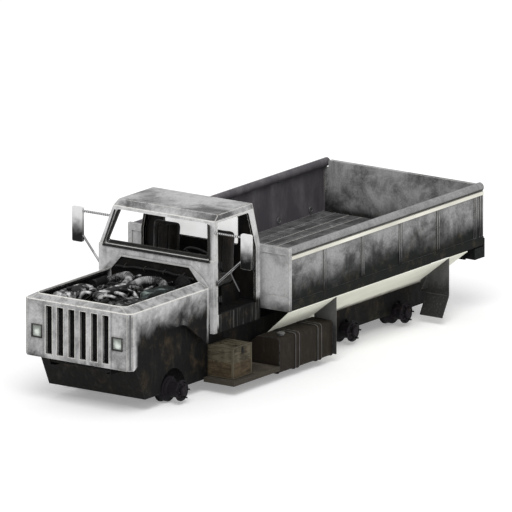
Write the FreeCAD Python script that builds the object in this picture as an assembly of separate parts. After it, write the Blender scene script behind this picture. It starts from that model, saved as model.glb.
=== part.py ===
import FreeCAD, Part
import math
import os

from FreeCAD import Vector

# A six-wheel-drive military cargo truck without its road wheels, doors, windscreen or bonnet lid.
# Millimetres. +X is the truck's left, +Y runs to the rear and +Z is up from the floor.
# The origin lies on the floor, under the middle of the truck's length.

# Lengths along the truck, from the lamp glasses back to the rear lamp boxes.
LAMP_PROUD = 12.0
NOSE_LENGTH = 1690.0
COWL_DEPTH = 30.0
CAB_LENGTH = 1014.0
CAB_BED_GAP = 130.0
BED_LENGTH = 4326.0
LAMP_BOX_OVERHANG = 20.0
REAR_OVERHANG = 1210.0

# Axle places and the bare hub ends.
FRONT_AXLE_SETBACK = 1030.0
TANDEM_SPACING = 1180.0
SHIELD_RADIUS = 180.0
SHIELD_THICKNESS = 8.0
DRUM_RADIUS = 165.0
DRUM_WIDTH = 110.0
DRUM_SHIELD_GAP = 6.0
SHIELD_X = 575.0
HUB_BARREL_RADIUS = 100.0
HUB_FLANGE_RADIUS = 135.0
HUB_FLANGE_THICKNESS = 18.0
HUB_FLANGE_FACE_X = 886.0
HUB_CAP_RADIUS = 62.0
HUB_CAP_LENGTH = 46.0
HUB_CAP_CHAMFER = 12.0
STUD_CIRCLE_DIAMETER = 222.25
STUD_COUNT = 6
STUD_RADIUS = 9.5
STUD_LENGTH = 40.0
SEAT_GAP = 0.3

# Axle beams, knuckles and the steering links.
AXLE_TUBE_RADIUS = 42.0
REAR_TUBE_RADIUS = 60.0
DIFF_RADIUS = 128.0
DIFF_WIDTH = 150.0
DIFF_NOSE_LENGTH = 210.0
FRONT_DIFF_X = 170.0
KNUCKLE_BALL_RADIUS = 48.0
KNUCKLE_ARM_WIDTH = 60.0
KNUCKLE_ARM_THICKNESS = 24.0
KNUCKLE_CLEARANCE = 8.0
SPINDLE_RADIUS = 40.0
STEERING_ARM_LENGTH = 175.0
STEERING_ARM_DROP = 75.0
TIE_ROD_RADIUS = 17.0
TIE_ROD_EYE_RADIUS = 27.0

# Ladder frame.
FRAME_OVER_AXLE = 340.0
RAIL_HEIGHT = 200.0
RAIL_WIDTH = 75.0
RAIL_WALL = 9.0
RAIL_OUTER_X = 470.0
CROSSMEMBER_HEIGHT = 120.0
CROSSMEMBER_DEPTH = 90.0
FRAME_FRONT_SETBACK = 60.0
OUTRIGGER_THICKNESS = 12.0
CAB_OUTRIGGER_SETBACK = 120.0
BED_OUTRIGGER_LEAD = 60.0
REAR_OUTRIGGER_SETBACK = 380.0
RADIATOR_MEMBER_SETBACK = 20.0
CAB_MEMBER_SETBACK = 180.0
BED_MEMBER_LEAD = 80.0
REAR_MEMBER_SETBACK = 420.0

# Leaf springs and dampers.
SPRING_X = 428.0
SPRING_WIDTH = 65.0
LEAF_THICKNESS = 11.0
FRONT_LEAF_COUNT = 6
REAR_LEAF_COUNT = 9
FRONT_SPRING_SPAN = 1150.0
DAMPER_RADIUS = 34.0
DAMPER_FOOT_REACH = 0.06 * FRONT_SPRING_SPAN
DAMPER_HEAD_REACH = 0.165 * FRONT_SPRING_SPAN

# Nose: grille panel, side panels and the border of the open bonnet.
NOSE_HALF_WIDTH = 827.0
NOSE_CORNER = 60.0
NOSE_BELOW_FRAME_TOP = 100.0
NOSE_HEIGHT = 735.0
NOSE_SHEET = 25.0
GRILLE_THICKNESS = 45.0
GRILLE_SLOT_COUNT = 6
GRILLE_SLOT_PITCH = 175.0
GRILLE_SLOT_WIDTH = 104.0
GRILLE_SLOT_MARGIN = 52.0
RIM_RISE = 75.0
RIM_SHEET = 25.0
RIM_SIDE_WIDTH = 142.0
RIM_FRONT_WIDTH = 70.0
LAMP_X = 620.0
LAMP_WIDTH = 165.0
LAMP_HEIGHT = 175.0
LAMP_BEZEL = 14.0
LAMP_DEPTH = 70.0

# Cowl between the nose and the cab, with the hump over its opening.
COWL_OPENING_X = NOSE_HALF_WIDTH - 167.0
COWL_OPENING_LIFT = 60.0
COWL_SHOULDER_X = NOSE_HALF_WIDTH - 92.0
COWL_SHOULDER_RISE = 40.0
COWL_HUMP_X = NOSE_HALF_WIDTH - 282.0
COWL_HUMP_RISE = 178.0
COWL_BORDER = 20.0

# Engine bay: vee engine, fan and radiator.
ENGINE_SETBACK = 330.0
ENGINE_LENGTH = 820.0
CRANK_BELOW_FRAME_TOP = 60.0
VALLEY_X = 60.0
VALLEY_RISE = 330.0
BANK_OUTER_X = 330.0
BANK_OUTER_RISE = 340.0
BANK_INNER_X = 200.0
BANK_INNER_RISE = 480.0
FAN_RISE = 330.0
FAN_RADIUS = 235.0
FAN_BLADE_COUNT = 6
RADIATOR_HALF_WIDTH = 400.0
RADIATOR_THICKNESS = 75.0
AIR_CLEANER_RADIUS = 205.0
AIR_CLEANER_HEIGHT = 90.0
SUMP_DEPTH = 120.0
BELL_LENGTH = 200.0
BELL_RADIUS = 215.0
GEARBOX_LENGTH = 420.0
GEARBOX_HALF_WIDTH = 120.0
BATTERY_INSET = 99.0
BATTERY_LENGTH = 310.0
BATTERY_WIDTH = 180.0
BATTERY_HEIGHT = 220.0
BATTERY_POST = 30.0
TRAY_RISE = 260.0
HEADER_TANK_RADIUS = 80.0
HEADER_TANK_LENGTH = 320.0

# Exhaust.
SILENCER_RADIUS = 95.0
SILENCER_LENGTH = 820.0
EXHAUST_PIPE_RADIUS = 35.0

# Cab shell.
CAB_HALF_WIDTH = 890.0
CAB_WALL = 35.0
CAB_OVER_FRAME = 50.0
CAB_SILL_HEIGHT = 230.0
CAB_BELT_HEIGHT = 945.0
CAB_EAVES_HEIGHT = 460.0
CAB_ROOF_RISE = 72.0
CAB_EAVES_INSET = 105.0
CAB_ROOF_INSET = 124.0
WINDSCREEN_SETBACK = 25.0
SCREEN_CORNER = 40.0
WINDSCREEN_RAKE = 140.0
VISOR_DEPTH = 100.0
DOOR_FRONT_MARGIN = 90.0
DOOR_REAR_MARGIN = 90.0
DOOR_TOP_MARGIN = 22.0

# Rear window, seats and steering column.
REAR_PANE_HALF_WIDTH = 570.0
REAR_PANE_BELOW_BELT = 22.0
REAR_PANE_TOP_MARGIN = 115.0
REAR_PANE_CORNER = 30.0
PANE_THICKNESS = 6.0
SEAT_X = 420.0
SEAT_WIDTH = 470.0
SEAT_BOX_HEIGHT = 240.0
SEAT_CUSHION_LENGTH = 330.0
SEAT_CUSHION_HEIGHT = 120.0
SEAT_BACK_HEIGHT = 690.0
SEAT_BACK_THICKNESS = 150.0
SEAT_BACK_LEAN = 35.0
SEAT_WALL_GAP = 70.0
COLUMN_X = 405.0
COLUMN_RADIUS = 32.0
STEERING_WHEEL_RADIUS = 215.0

# Cargo bed.
BED_OVER_FRAME = 152.0
BED_RAIL_HEIGHT = 128.0
BED_SHEET_HEIGHT = 580.0
BED_PIPE_DIAMETER = 113.0
BED_RAIL_WIDTH = 60.0
BED_SHEET = 36.0
HEADBOARD_THICKNESS = 50.0
TAILGATE_THICKNESS = 55.0
TAILGATE_FLOOR_GAP = 8.0
TAILGATE_SIDE_GAP = 7.0
HINGE_DROP = 8.0
HINGE_RADIUS = 12.0
HINGE_WIDTH = 80.0
HINGE_EAR = 22.0
BED_FLOOR_THICKNESS = 40.0
SILL_HEIGHT = 120.0
SILL_END = 60.0
SILL_TAPER = 320.0
SILL_WIDTH = 72.0
BED_RIB_WIDTH = 78.0
BED_RIB_PROUD = 9.0
BED_BAY = 840.0

# Underbody panels, tanks, steps and boxes. The bed is as wide as the skirts and the splash panels.
SKIRT_X = 740.0
SPLASH_RUN = 510.0
BED_WIDTH = 2 * (SKIRT_X + SPLASH_RUN)
SKIRT_SHEET = 12.0
SKIRT_BOTTOM_BELOW_AXLE = 15.0
SPLASH_SHEET = 10.0
SPLASH_DROP = 405.0
TANK_LENGTH = 1180.0
TANK_HEIGHT = 455.0
TANK_DEPTH = 460.0
TANK_CORNER = 45.0
TANK_OVER_FLOOR = 95.0
STEP_THICKNESS = 60.0
STEP_DEPTH = 470.0
STEP_OVER_FLOOR = 135.0
BOX_DEPTH = 390.0
BOX_LENGTH = 410.0
BOX_HEIGHT = 405.0
FLAP_SHEET = 10.0
FLAP_SETBACK = 425.0
SKIRT_TAIL = 620.0
SPLASH_TAIL = 850.0

# Mirrors.
MIRROR_OUTER_X = 1384.0
MIRROR_WIDTH = 162.0
MIRROR_HEIGHT = 455.0
MIRROR_THICKNESS = 34.0
MIRROR_ARM_RADIUS = 9.0

# Places along Y that follow from the lengths.
OVERALL_LENGTH = (LAMP_PROUD + NOSE_LENGTH + COWL_DEPTH + CAB_LENGTH + CAB_BED_GAP
                  + BED_LENGTH + LAMP_BOX_OVERHANG)
NOSE_Y = LAMP_PROUD - OVERALL_LENGTH / 2
COWL_Y = NOSE_Y + NOSE_LENGTH
CAB_FRONT_Y = COWL_Y + COWL_DEPTH
CAB_REAR_Y = CAB_FRONT_Y + CAB_LENGTH
BED_FRONT_Y = CAB_REAR_Y + CAB_BED_GAP
BED_REAR_Y = BED_FRONT_Y + BED_LENGTH
REAR_Y = BED_REAR_Y + LAMP_BOX_OVERHANG
FRONT_AXLE_Y = NOSE_Y + FRONT_AXLE_SETBACK
REAR_AXLE_Y = BED_REAR_Y - REAR_OVERHANG
MIDDLE_AXLE_Y = REAR_AXLE_Y - TANDEM_SPACING
TRUNNION_Y = (MIDDLE_AXLE_Y + REAR_AXLE_Y) / 2
FRAME_FRONT_Y = NOSE_Y + FRAME_FRONT_SETBACK
ENGINE_FRONT_Y = NOSE_Y + ENGINE_SETBACK
FLOOR_REAR_Y = BED_REAR_Y - TAILGATE_THICKNESS - TAILGATE_FLOOR_GAP
FRAME_REAR_Y = FLOOR_REAR_Y
KINGPIN_X = SHIELD_X - KNUCKLE_BALL_RADIUS - KNUCKLE_CLEARANCE
OUTRIGGER_PLACES = [CAB_FRONT_Y + CAB_OUTRIGGER_SETBACK, CAB_REAR_Y + BED_OUTRIGGER_LEAD,
                    BED_FRONT_Y + 0.2 * BED_LENGTH, BED_FRONT_Y + 0.34 * BED_LENGTH, TRUNNION_Y,
                    REAR_AXLE_Y + REAR_OUTRIGGER_SETBACK]
CROSSMEMBER_PLACES = [FRAME_FRONT_Y + RADIATOR_MEMBER_SETBACK, CAB_FRONT_Y + CAB_MEMBER_SETBACK,
                      CAB_REAR_Y + BED_MEMBER_LEAD, BED_FRONT_Y + 0.25 * BED_LENGTH,
                      TRUNNION_Y - CROSSMEMBER_DEPTH / 2, REAR_AXLE_Y + REAR_MEMBER_SETBACK,
                      FRAME_REAR_Y - CROSSMEMBER_DEPTH]

# Heights that follow from the sizes.
AXLE_Z = SHIELD_RADIUS
FRAME_BOTTOM_Z = AXLE_Z + FRAME_OVER_AXLE
FRAME_TOP_Z = FRAME_BOTTOM_Z + RAIL_HEIGHT
CRANK_Z = FRAME_TOP_Z - CRANK_BELOW_FRAME_TOP
NOSE_BOTTOM_Z = FRAME_TOP_Z - NOSE_BELOW_FRAME_TOP
NOSE_TOP_Z = NOSE_BOTTOM_Z + NOSE_HEIGHT
RIM_TOP_Z = NOSE_TOP_Z + RIM_RISE
CAB_BOTTOM_Z = FRAME_TOP_Z + CAB_OVER_FRAME
CAB_FLOOR_Z = CAB_BOTTOM_Z + CAB_SILL_HEIGHT
BELT_Z = CAB_BOTTOM_Z + CAB_BELT_HEIGHT
EAVES_Z = BELT_Z + CAB_EAVES_HEIGHT
ROOF_Z = EAVES_Z + CAB_ROOF_RISE
BED_BOTTOM_Z = FRAME_TOP_Z + BED_OVER_FRAME
BED_FLOOR_Z = BED_BOTTOM_Z + BED_RAIL_HEIGHT
BED_SHEET_TOP_Z = BED_FLOOR_Z + BED_SHEET_HEIGHT
BED_TOP_Z = BED_SHEET_TOP_Z + BED_PIPE_DIAMETER
SKIRT_BOTTOM_Z = AXLE_Z - SKIRT_BOTTOM_BELOW_AXLE
SPLASH_TOP_Z = BED_BOTTOM_Z - SPLASH_SHEET * SPLASH_RUN / math.hypot(SPLASH_RUN, SPLASH_DROP) - SEAT_GAP
SPLASH_BOTTOM_Z = SPLASH_TOP_Z - SPLASH_DROP

X_AXIS = Vector(1, 0, 0)
Y_AXIS = Vector(0, 1, 0)
Z_AXIS = Vector(0, 0, 1)


def place_on(plane, a, b, level):
    """Point with the two plane coordinates a and b, at a level along the plane's normal."""
    if plane == "yz":
        return Vector(level, a, b)
    if plane == "xz":
        return Vector(a, level, b)
    return Vector(a, b, level)


def normal_of(plane):
    return {"yz": X_AXIS, "xz": Y_AXIS, "xy": Z_AXIS}[plane]


def corner_arc(before, corner, after, radius):
    """Tangent points and middle of the arc that rounds a corner."""
    back = (before - corner).normalize()
    ahead = (after - corner).normalize()
    half_angle = back.getAngle(ahead) / 2
    reach = radius / math.tan(half_angle)
    bisector = (back + ahead).normalize()
    centre = corner + bisector * (radius / math.sin(half_angle))
    return corner + back * reach, centre - bisector * radius, corner + ahead * reach


def outline_wire(points, plane, level):
    """Closed wire through (a, b) or (a, b, corner radius) points."""
    spots = [place_on(plane, p[0], p[1], level) for p in points]
    radii = [p[2] if len(p) > 2 else 0.0 for p in points]
    count = len(spots)
    starts = []
    ends = []
    arcs = []
    for i, spot in enumerate(spots):
        if radii[i] > 0:
            first, middle, last = corner_arc(spots[i - 1], spot, spots[(i + 1) % count], radii[i])
            arcs.append(Part.Arc(first, middle, last).toShape())
        else:
            first = last = spot
            arcs.append(None)
        starts.append(first)
        ends.append(last)
    edges = []
    for i in range(count):
        if arcs[i] is not None:
            edges.append(arcs[i])
        following = starts[(i + 1) % count]
        if ends[i].distanceToPoint(following) > 1e-6:
            edges.append(Part.LineSegment(ends[i], following).toShape())
    return Part.Wire(edges)


def prism(points, plane, start, end):
    """Solid with an outline in a plane, from one level to another along its normal."""
    face = Part.Face(outline_wire(points, plane, start))
    return face.extrude(normal_of(plane) * (end - start))


def box(x0, x1, y0, y1, z0, z1):
    return Part.makeBox(x1 - x0, y1 - y0, z1 - z0, Vector(x0, y0, z0))


def rod(start, end, radius):
    """Round bar between two points."""
    return Part.makeCylinder(radius, (end - start).Length, start, end - start)


def disc_x(x0, x1, y, z, radius):
    return Part.makeCylinder(radius, x1 - x0, Vector(x0, y, z), X_AXIS)


def turned_x(profile, y, z):
    """Solid of revolution about a line along X; the profile holds (x, radius) points."""
    spots = [Vector(x, y, z + radius) for x, radius in profile]
    face = Part.Face(Part.makePolygon(spots + [spots[0]]))
    return face.revolve(Vector(0, y, z), X_AXIS, 360)


def union(*shapes):
    if len(shapes) == 1:
        return shapes[0]
    return shapes[0].fuse(list(shapes[1:])).removeSplitter()


def mirrored(shape):
    """Copy on the truck's right side."""
    return shape.mirror(Vector(0, 0, 0), X_AXIS)


def both_sides(shape):
    return Part.makeCompound([shape, mirrored(shape)])


def bent_sheet(path, thickness, plane, start, end):
    """Sheet that follows a path in a plane, its thickness to the path's left."""
    spots = [Vector(a, b, 0) for a, b in path]
    sides = []
    for first, second in zip(spots, spots[1:]):
        along = (second - first).normalize()
        sides.append(Vector(-along.y, along.x, 0))
    shifted = [spots[0] + sides[0] * thickness]
    for i in range(1, len(spots) - 1):
        mitre = (sides[i - 1] + sides[i]).normalize()
        shifted.append(spots[i] + mitre * (thickness / mitre.dot(sides[i])))
    shifted.append(spots[-1] + sides[-1] * thickness)
    points = [(p.x, p.y) for p in spots + shifted[::-1]]
    return prism(points, plane, start, end)


def section(half_width, front, rear, z):
    """Rectangular cross-section of the cab at one height."""
    corners = [Vector(-half_width, front, z), Vector(half_width, front, z),
               Vector(half_width, rear, z), Vector(-half_width, rear, z)]
    return Part.makePolygon(corners + [corners[0]])


# Hub ends, knuckles and axles

def hub(side, axle_y):
    """Brake drum, hub barrel, wheel flange, centring cap and wheel studs."""
    drum_start = SHIELD_X + SHIELD_THICKNESS + DRUM_SHIELD_GAP
    drum_end = drum_start + DRUM_WIDTH
    flange_back = HUB_FLANGE_FACE_X - HUB_FLANGE_THICKNESS
    cap_end = HUB_FLANGE_FACE_X + HUB_CAP_LENGTH
    cap_edge = HUB_CAP_CHAMFER
    profile = [
        (drum_start, 0),
        (drum_start, DRUM_RADIUS),
        (drum_end - 12, DRUM_RADIUS),
        (drum_end, DRUM_RADIUS - 12),
        (drum_end, HUB_BARREL_RADIUS + 20),
        (drum_end + 20, HUB_BARREL_RADIUS),
        (flange_back - 14, HUB_BARREL_RADIUS),
        (flange_back, HUB_BARREL_RADIUS + 14),
        (flange_back, HUB_FLANGE_RADIUS),
        (HUB_FLANGE_FACE_X, HUB_FLANGE_RADIUS),
        (HUB_FLANGE_FACE_X, HUB_CAP_RADIUS),
        (cap_end - cap_edge, HUB_CAP_RADIUS),
        (cap_end, HUB_CAP_RADIUS - cap_edge),
        (cap_end, 0),
    ]
    body = turned_x(profile, axle_y, AXLE_Z)
    studs = []
    for i in range(STUD_COUNT):
        angle = 2 * math.pi * i / STUD_COUNT
        y = axle_y + STUD_CIRCLE_DIAMETER / 2 * math.cos(angle)
        z = AXLE_Z + STUD_CIRCLE_DIAMETER / 2 * math.sin(angle)
        studs.append(disc_x(flange_back, HUB_FLANGE_FACE_X + STUD_LENGTH, y, z, STUD_RADIUS))
    whole = union(body, *studs)
    return whole if side > 0 else mirrored(whole)


def shield(axle_y):
    """Round brake shield that the bare truck stands on."""
    return disc_x(SHIELD_X, SHIELD_X + SHIELD_THICKNESS, axle_y, AXLE_Z, SHIELD_RADIUS)


def knuckle(side):
    """Front knuckle: forked arms above and below the ball, shield, spindle nose and steering arm."""
    y = FRONT_AXLE_Y
    arm_gap = KNUCKLE_BALL_RADIUS + KNUCKLE_CLEARANCE
    half = KNUCKLE_ARM_WIDTH / 2
    face_x = SHIELD_X + SHIELD_THICKNESS
    fork = []
    for up in (1, -1):
        low = AXLE_Z + up * arm_gap
        high = low + up * KNUCKLE_ARM_THICKNESS
        arm = box(KINGPIN_X, face_x, y - half, y + half, min(low, high), max(low, high))
        boss = rod(Vector(KINGPIN_X, y, low), Vector(KINGPIN_X, y, high), half)
        pin_base = AXLE_Z + up * (KNUCKLE_BALL_RADIUS + SEAT_GAP)
        pin = rod(Vector(KINGPIN_X, y, pin_base), Vector(KINGPIN_X, y, low), 15)
        fork += [arm, boss, pin]
    nose = disc_x(SHIELD_X, face_x + DRUM_SHIELD_GAP - SEAT_GAP, y, AXLE_Z, SPINDLE_RADIUS)
    arm_z = AXLE_Z - STEERING_ARM_DROP
    arm_end = y + STEERING_ARM_LENGTH
    low_z = arm_z - KNUCKLE_ARM_THICKNESS
    link = prism([(KINGPIN_X - 12, y), (face_x, y), (face_x, y + half), (KINGPIN_X + 20, arm_end),
                  (KINGPIN_X - 20, arm_end)], "xy", low_z, arm_z)
    hanger = rod(Vector(KINGPIN_X, y, low_z), Vector(KINGPIN_X, y, AXLE_Z - arm_gap), half)
    eye = rod(Vector(KINGPIN_X, arm_end, low_z), Vector(KINGPIN_X, arm_end, arm_z), 24)
    whole = union(shield(y), nose, *fork, link, hanger, eye)
    return whole if side > 0 else mirrored(whole)


def tie_rod():
    """Rod behind the front axle that joins the two steering arms."""
    pivot_x = KINGPIN_X
    y = FRONT_AXLE_Y + STEERING_ARM_LENGTH
    top = AXLE_Z - STEERING_ARM_DROP - KNUCKLE_ARM_THICKNESS - SEAT_GAP
    z = top - TIE_ROD_RADIUS - 4
    bar = rod(Vector(-pivot_x, y, z), Vector(pivot_x, y, z), TIE_ROD_RADIUS)
    eyes = []
    for x in (-pivot_x, pivot_x):
        eyes.append(rod(Vector(x, y, z - TIE_ROD_RADIUS - 4), Vector(x, y, top), TIE_ROD_EYE_RADIUS))
    return union(bar, *eyes)


def front_axle():
    """Front beam with its ball ends and the differential set off to one side."""
    y = FRONT_AXLE_Y
    end_x = KINGPIN_X
    tube = disc_x(-end_x, end_x, y, AXLE_Z, AXLE_TUBE_RADIUS)
    balls = [Part.makeSphere(KNUCKLE_BALL_RADIUS, Vector(x, y, AXLE_Z)) for x in (-end_x, end_x)]
    return union(tube, *balls, differential(FRONT_DIFF_X, y, 1))


def differential(x, y, toward):
    """Round gear housing with a pinion nose towards the transfer box."""
    half = DIFF_WIDTH / 2
    profile = [(x - half - 60, 0), (x - half - 60, REAR_TUBE_RADIUS + 6), (x - half, DIFF_RADIUS - 26),
               (x - half + 26, DIFF_RADIUS), (x + half - 26, DIFF_RADIUS), (x + half, DIFF_RADIUS - 26),
               (x + half + 60, REAR_TUBE_RADIUS + 6), (x + half + 60, 0)]
    housing = turned_x(profile, y, AXLE_Z)
    nose = Part.makeCone(78, 52, DIFF_NOSE_LENGTH, Vector(x, y, AXLE_Z), Y_AXIS * toward)
    return union(housing, nose)


def rear_axle(axle_y):
    """Driven rear beam with differential, shields and spindle noses."""
    tube = disc_x(-SHIELD_X, SHIELD_X, axle_y, AXLE_Z, REAR_TUBE_RADIUS)
    nose = disc_x(SHIELD_X, SHIELD_X + SHIELD_THICKNESS + DRUM_SHIELD_GAP - SEAT_GAP,
                  axle_y, AXLE_Z, SPINDLE_RADIUS)
    ends = union(shield(axle_y), nose)
    return union(tube, ends, mirrored(ends), differential(0, axle_y, -1))


def axles():
    return Part.makeCompound([front_axle(), rear_axle(MIDDLE_AXLE_Y), rear_axle(REAR_AXLE_Y)])


# Springs, frame and driveline

def leaf_pack(centre_y, centre_z, end_z, span, count, thick_side):
    """Stack of curved leaves, each shorter than the last, on one side of the main leaf."""
    rise = end_z - centre_z
    leaves = []
    for i in range(count):
        half = span / 2 * (1 - 0.13 * i)
        radius = ((span / 2) ** 2 + rise ** 2) / (2 * abs(rise))
        drop = i * LEAF_THICKNESS * thick_side
        sag = radius - math.sqrt(radius ** 2 - half ** 2)
        tip = centre_z + drop + math.copysign(sag, rise)
        low = [Vector(0, centre_y - half, tip), Vector(0, centre_y, centre_z + drop),
               Vector(0, centre_y + half, tip)]
        lift = Vector(0, 0, LEAF_THICKNESS)
        wire = Part.Wire([
            Part.Arc(low[0], low[1], low[2]).toShape(),
            Part.LineSegment(low[2], low[2] + lift).toShape(),
            Part.Arc(low[2] + lift, low[1] + lift, low[0] + lift).toShape(),
            Part.LineSegment(low[0] + lift, low[0]).toShape(),
        ])
        leaf = Part.Face(wire).extrude(X_AXIS * SPRING_WIDTH)
        leaf.translate(Vector(SPRING_X - SPRING_WIDTH / 2, 0, 0))
        leaves.append(leaf)
    return union(*leaves)


def front_spring():
    """Front leaf spring on the beam, with hangers up to the frame and its clamp."""
    seat_z = AXLE_Z + AXLE_TUBE_RADIUS + FRONT_LEAF_COUNT * LEAF_THICKNESS
    eye_z = FRAME_BOTTOM_Z - 60
    pack = leaf_pack(FRONT_AXLE_Y, seat_z, eye_z, FRONT_SPRING_SPAN, FRONT_LEAF_COUNT, -1)
    parts = [pack]
    x0 = SPRING_X - SPRING_WIDTH / 2
    x1 = SPRING_X + SPRING_WIDTH / 2
    for end in (-1, 1):
        y = FRONT_AXLE_Y + end * FRONT_SPRING_SPAN / 2
        parts.append(disc_x(x0, x1, y, eye_z + LEAF_THICKNESS / 2, 24))
        parts.append(prism([(y - 30, eye_z - 10), (y + 30, eye_z - 10), (y + 55, FRAME_BOTTOM_Z),
                            (y - 55, FRAME_BOTTOM_Z)], "yz", x0 - 8, x0))
        parts.append(prism([(y - 30, eye_z - 10), (y + 30, eye_z - 10), (y + 55, FRAME_BOTTOM_Z),
                            (y - 55, FRAME_BOTTOM_Z)], "yz", x1, x1 + 8))
    pack_low = seat_z - (FRONT_LEAF_COUNT - 1) * LEAF_THICKNESS
    seat = box(x0 - 8, x1 + 8, FRONT_AXLE_Y - 70, FRONT_AXLE_Y + 70, AXLE_Z, pack_low + 4)
    cap = box(x0 - 8, x1 + 8, FRONT_AXLE_Y - 70, FRONT_AXLE_Y + 70,
              seat_z + LEAF_THICKNESS - 4, seat_z + LEAF_THICKNESS + 14)
    return union(*parts, seat, cap).cut(disc_x(0, KINGPIN_X, FRONT_AXLE_Y, AXLE_Z, AXLE_TUBE_RADIUS))


def rear_spring():
    """Rear leaf spring that rocks on the trunnion and bears on both rear beams."""
    end_z = AXLE_Z + REAR_TUBE_RADIUS
    top_z = end_z + 150
    pack = leaf_pack(TRUNNION_Y, top_z - LEAF_THICKNESS, end_z, TANDEM_SPACING, REAR_LEAF_COUNT, -1)
    x0 = SPRING_X - SPRING_WIDTH / 2
    x1 = SPRING_X + SPRING_WIDTH / 2
    saddle = prism([(TRUNNION_Y - 95, top_z - 4), (TRUNNION_Y + 95, top_z - 4),
                    (TRUNNION_Y + 150, FRAME_BOTTOM_Z), (TRUNNION_Y - 150, FRAME_BOTTOM_Z)],
                   "yz", x0, x1)
    keep_low = box(x0 - 1, x1 + 1, TRUNNION_Y - TANDEM_SPACING, TRUNNION_Y + TANDEM_SPACING,
                   0, end_z)
    pads = []
    for axle_y in (MIDDLE_AXLE_Y, REAR_AXLE_Y):
        pads.append(disc_x(0, KINGPIN_X, axle_y, AXLE_Z, REAR_TUBE_RADIUS))
    return union(pack.cut(keep_low), saddle).cut(union(*pads))


def damper(axle_y, toward):
    """Telescopic damper from the beam up to the frame."""
    x = RAIL_OUTER_X - RAIL_WIDTH - DAMPER_RADIUS - 4
    foot = Vector(x, axle_y + toward * DAMPER_FOOT_REACH, AXLE_Z + AXLE_TUBE_RADIUS + 30)
    head = Vector(x, axle_y + toward * DAMPER_HEAD_REACH, FRAME_TOP_Z - 60)
    middle = foot + (head - foot) * 0.5
    body = union(rod(foot, middle, DAMPER_RADIUS - 9), rod(middle, head, DAMPER_RADIUS))
    ears = union(disc_x(x, RAIL_OUTER_X - RAIL_WALL, head.y, head.z - 20, 16),
                 rod(Vector(x, axle_y, AXLE_Z), foot, 18))
    return union(body, ears).cut(disc_x(0, KINGPIN_X, axle_y, AXLE_Z, AXLE_TUBE_RADIUS))


def rail():
    """Channel-section side member, open to the inside."""
    x1 = RAIL_OUTER_X
    x0 = RAIL_OUTER_X - RAIL_WIDTH
    web = RAIL_OUTER_X - RAIL_WALL
    z0 = FRAME_BOTTOM_Z
    z1 = FRAME_TOP_Z
    return prism([(x0, z0), (x1, z0), (x1, z1), (x0, z1), (x0, z1 - RAIL_WALL), (web, z1 - RAIL_WALL),
                  (web, z0 + RAIL_WALL), (x0, z0 + RAIL_WALL)], "xz", FRAME_FRONT_Y, FRAME_REAR_Y)


def crossmember(y, height=CROSSMEMBER_HEIGHT):
    """Channel that ties the two side members."""
    web = RAIL_OUTER_X - RAIL_WALL - SEAT_GAP
    z0 = FRAME_BOTTOM_Z + (RAIL_HEIGHT - height) / 2
    z1 = z0 + height
    y1 = y + CROSSMEMBER_DEPTH
    return prism([(y, z0), (y1, z0), (y1, z0 + RAIL_WALL), (y + RAIL_WALL, z0 + RAIL_WALL),
                  (y + RAIL_WALL, z1 - RAIL_WALL), (y1, z1 - RAIL_WALL), (y1, z1), (y, z1)],
                 "yz", -web, web)


def outrigger(y):
    """Bracket from a side member out to the skirt."""
    z0 = FRAME_BOTTOM_Z + 10
    x_end = SKIRT_X - SKIRT_SHEET
    return prism([(RAIL_OUTER_X, z0), (x_end, z0 - 80), (x_end, z0 - 140), (RAIL_OUTER_X, z0 - 10)],
                 "xz", y - OUTRIGGER_THICKNESS / 2, y + OUTRIGGER_THICKNESS / 2)


def chassis_frame():
    """Side members of the ladder frame with their skirt brackets."""
    return both_sides(union(rail(), *[outrigger(y) for y in OUTRIGGER_PLACES]))


def crossmembers():
    return Part.makeCompound([crossmember(y) for y in CROSSMEMBER_PLACES])


def driveline():
    """Transfer box and the shafts from it to the three differentials."""
    y = CAB_REAR_Y - 60
    z = FRAME_BOTTOM_Z - 60
    case = prism([(-150, z - 120, 40), (190, z - 120, 40), (190, z + 120, 60), (-150, z + 120, 60)],
                 "xz", y - 130, y + 130)
    lug = box(-40, 40, y - 40, y + 40, z + 110, FRAME_BOTTOM_Z + 70)
    front = shaft(Vector(FRONT_DIFF_X, FRONT_AXLE_Y + DIFF_NOSE_LENGTH + SEAT_GAP, AXLE_Z),
                  Vector(FRONT_DIFF_X, y - 130, z - 20), 32)
    rear = shaft(Vector(0, MIDDLE_AXLE_Y - DIFF_NOSE_LENGTH - SEAT_GAP, AXLE_Z),
                 Vector(0, y + 130, z - 20), 38)
    return union(case, lug, front, rear)


def shaft(start, end, radius):
    """Propeller shaft with a straight yoke on its first end."""
    step = math.copysign(60, end.y - start.y)
    yoke_end = start + Y_AXIS * step
    return union(rod(start, yoke_end, radius + 12), rod(yoke_end - Y_AXIS * (step / 3), end, radius))


def tandem_shaft():
    """Short shaft between the two rear differentials."""
    bar = rod(Vector(0, MIDDLE_AXLE_Y, AXLE_Z),
              Vector(0, REAR_AXLE_Y - DIFF_NOSE_LENGTH - SEAT_GAP, AXLE_Z), 36)
    housing = disc_x(-DIFF_WIDTH, DIFF_WIDTH, MIDDLE_AXLE_Y, AXLE_Z, DIFF_RADIUS + SEAT_GAP)
    return bar.cut(housing)


# Nose

def nose_corners(inset_side, inset_front, rear):
    """Plan of the nose with its two cut front corners, moved in from the sides and the front."""
    half = NOSE_HALF_WIDTH - inset_side
    front = NOSE_Y + inset_front
    return [(-half, front + NOSE_CORNER), (-half + NOSE_CORNER, front), (half - NOSE_CORNER, front),
            (half, front + NOSE_CORNER), (half, rear), (-half, rear)]


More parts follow.
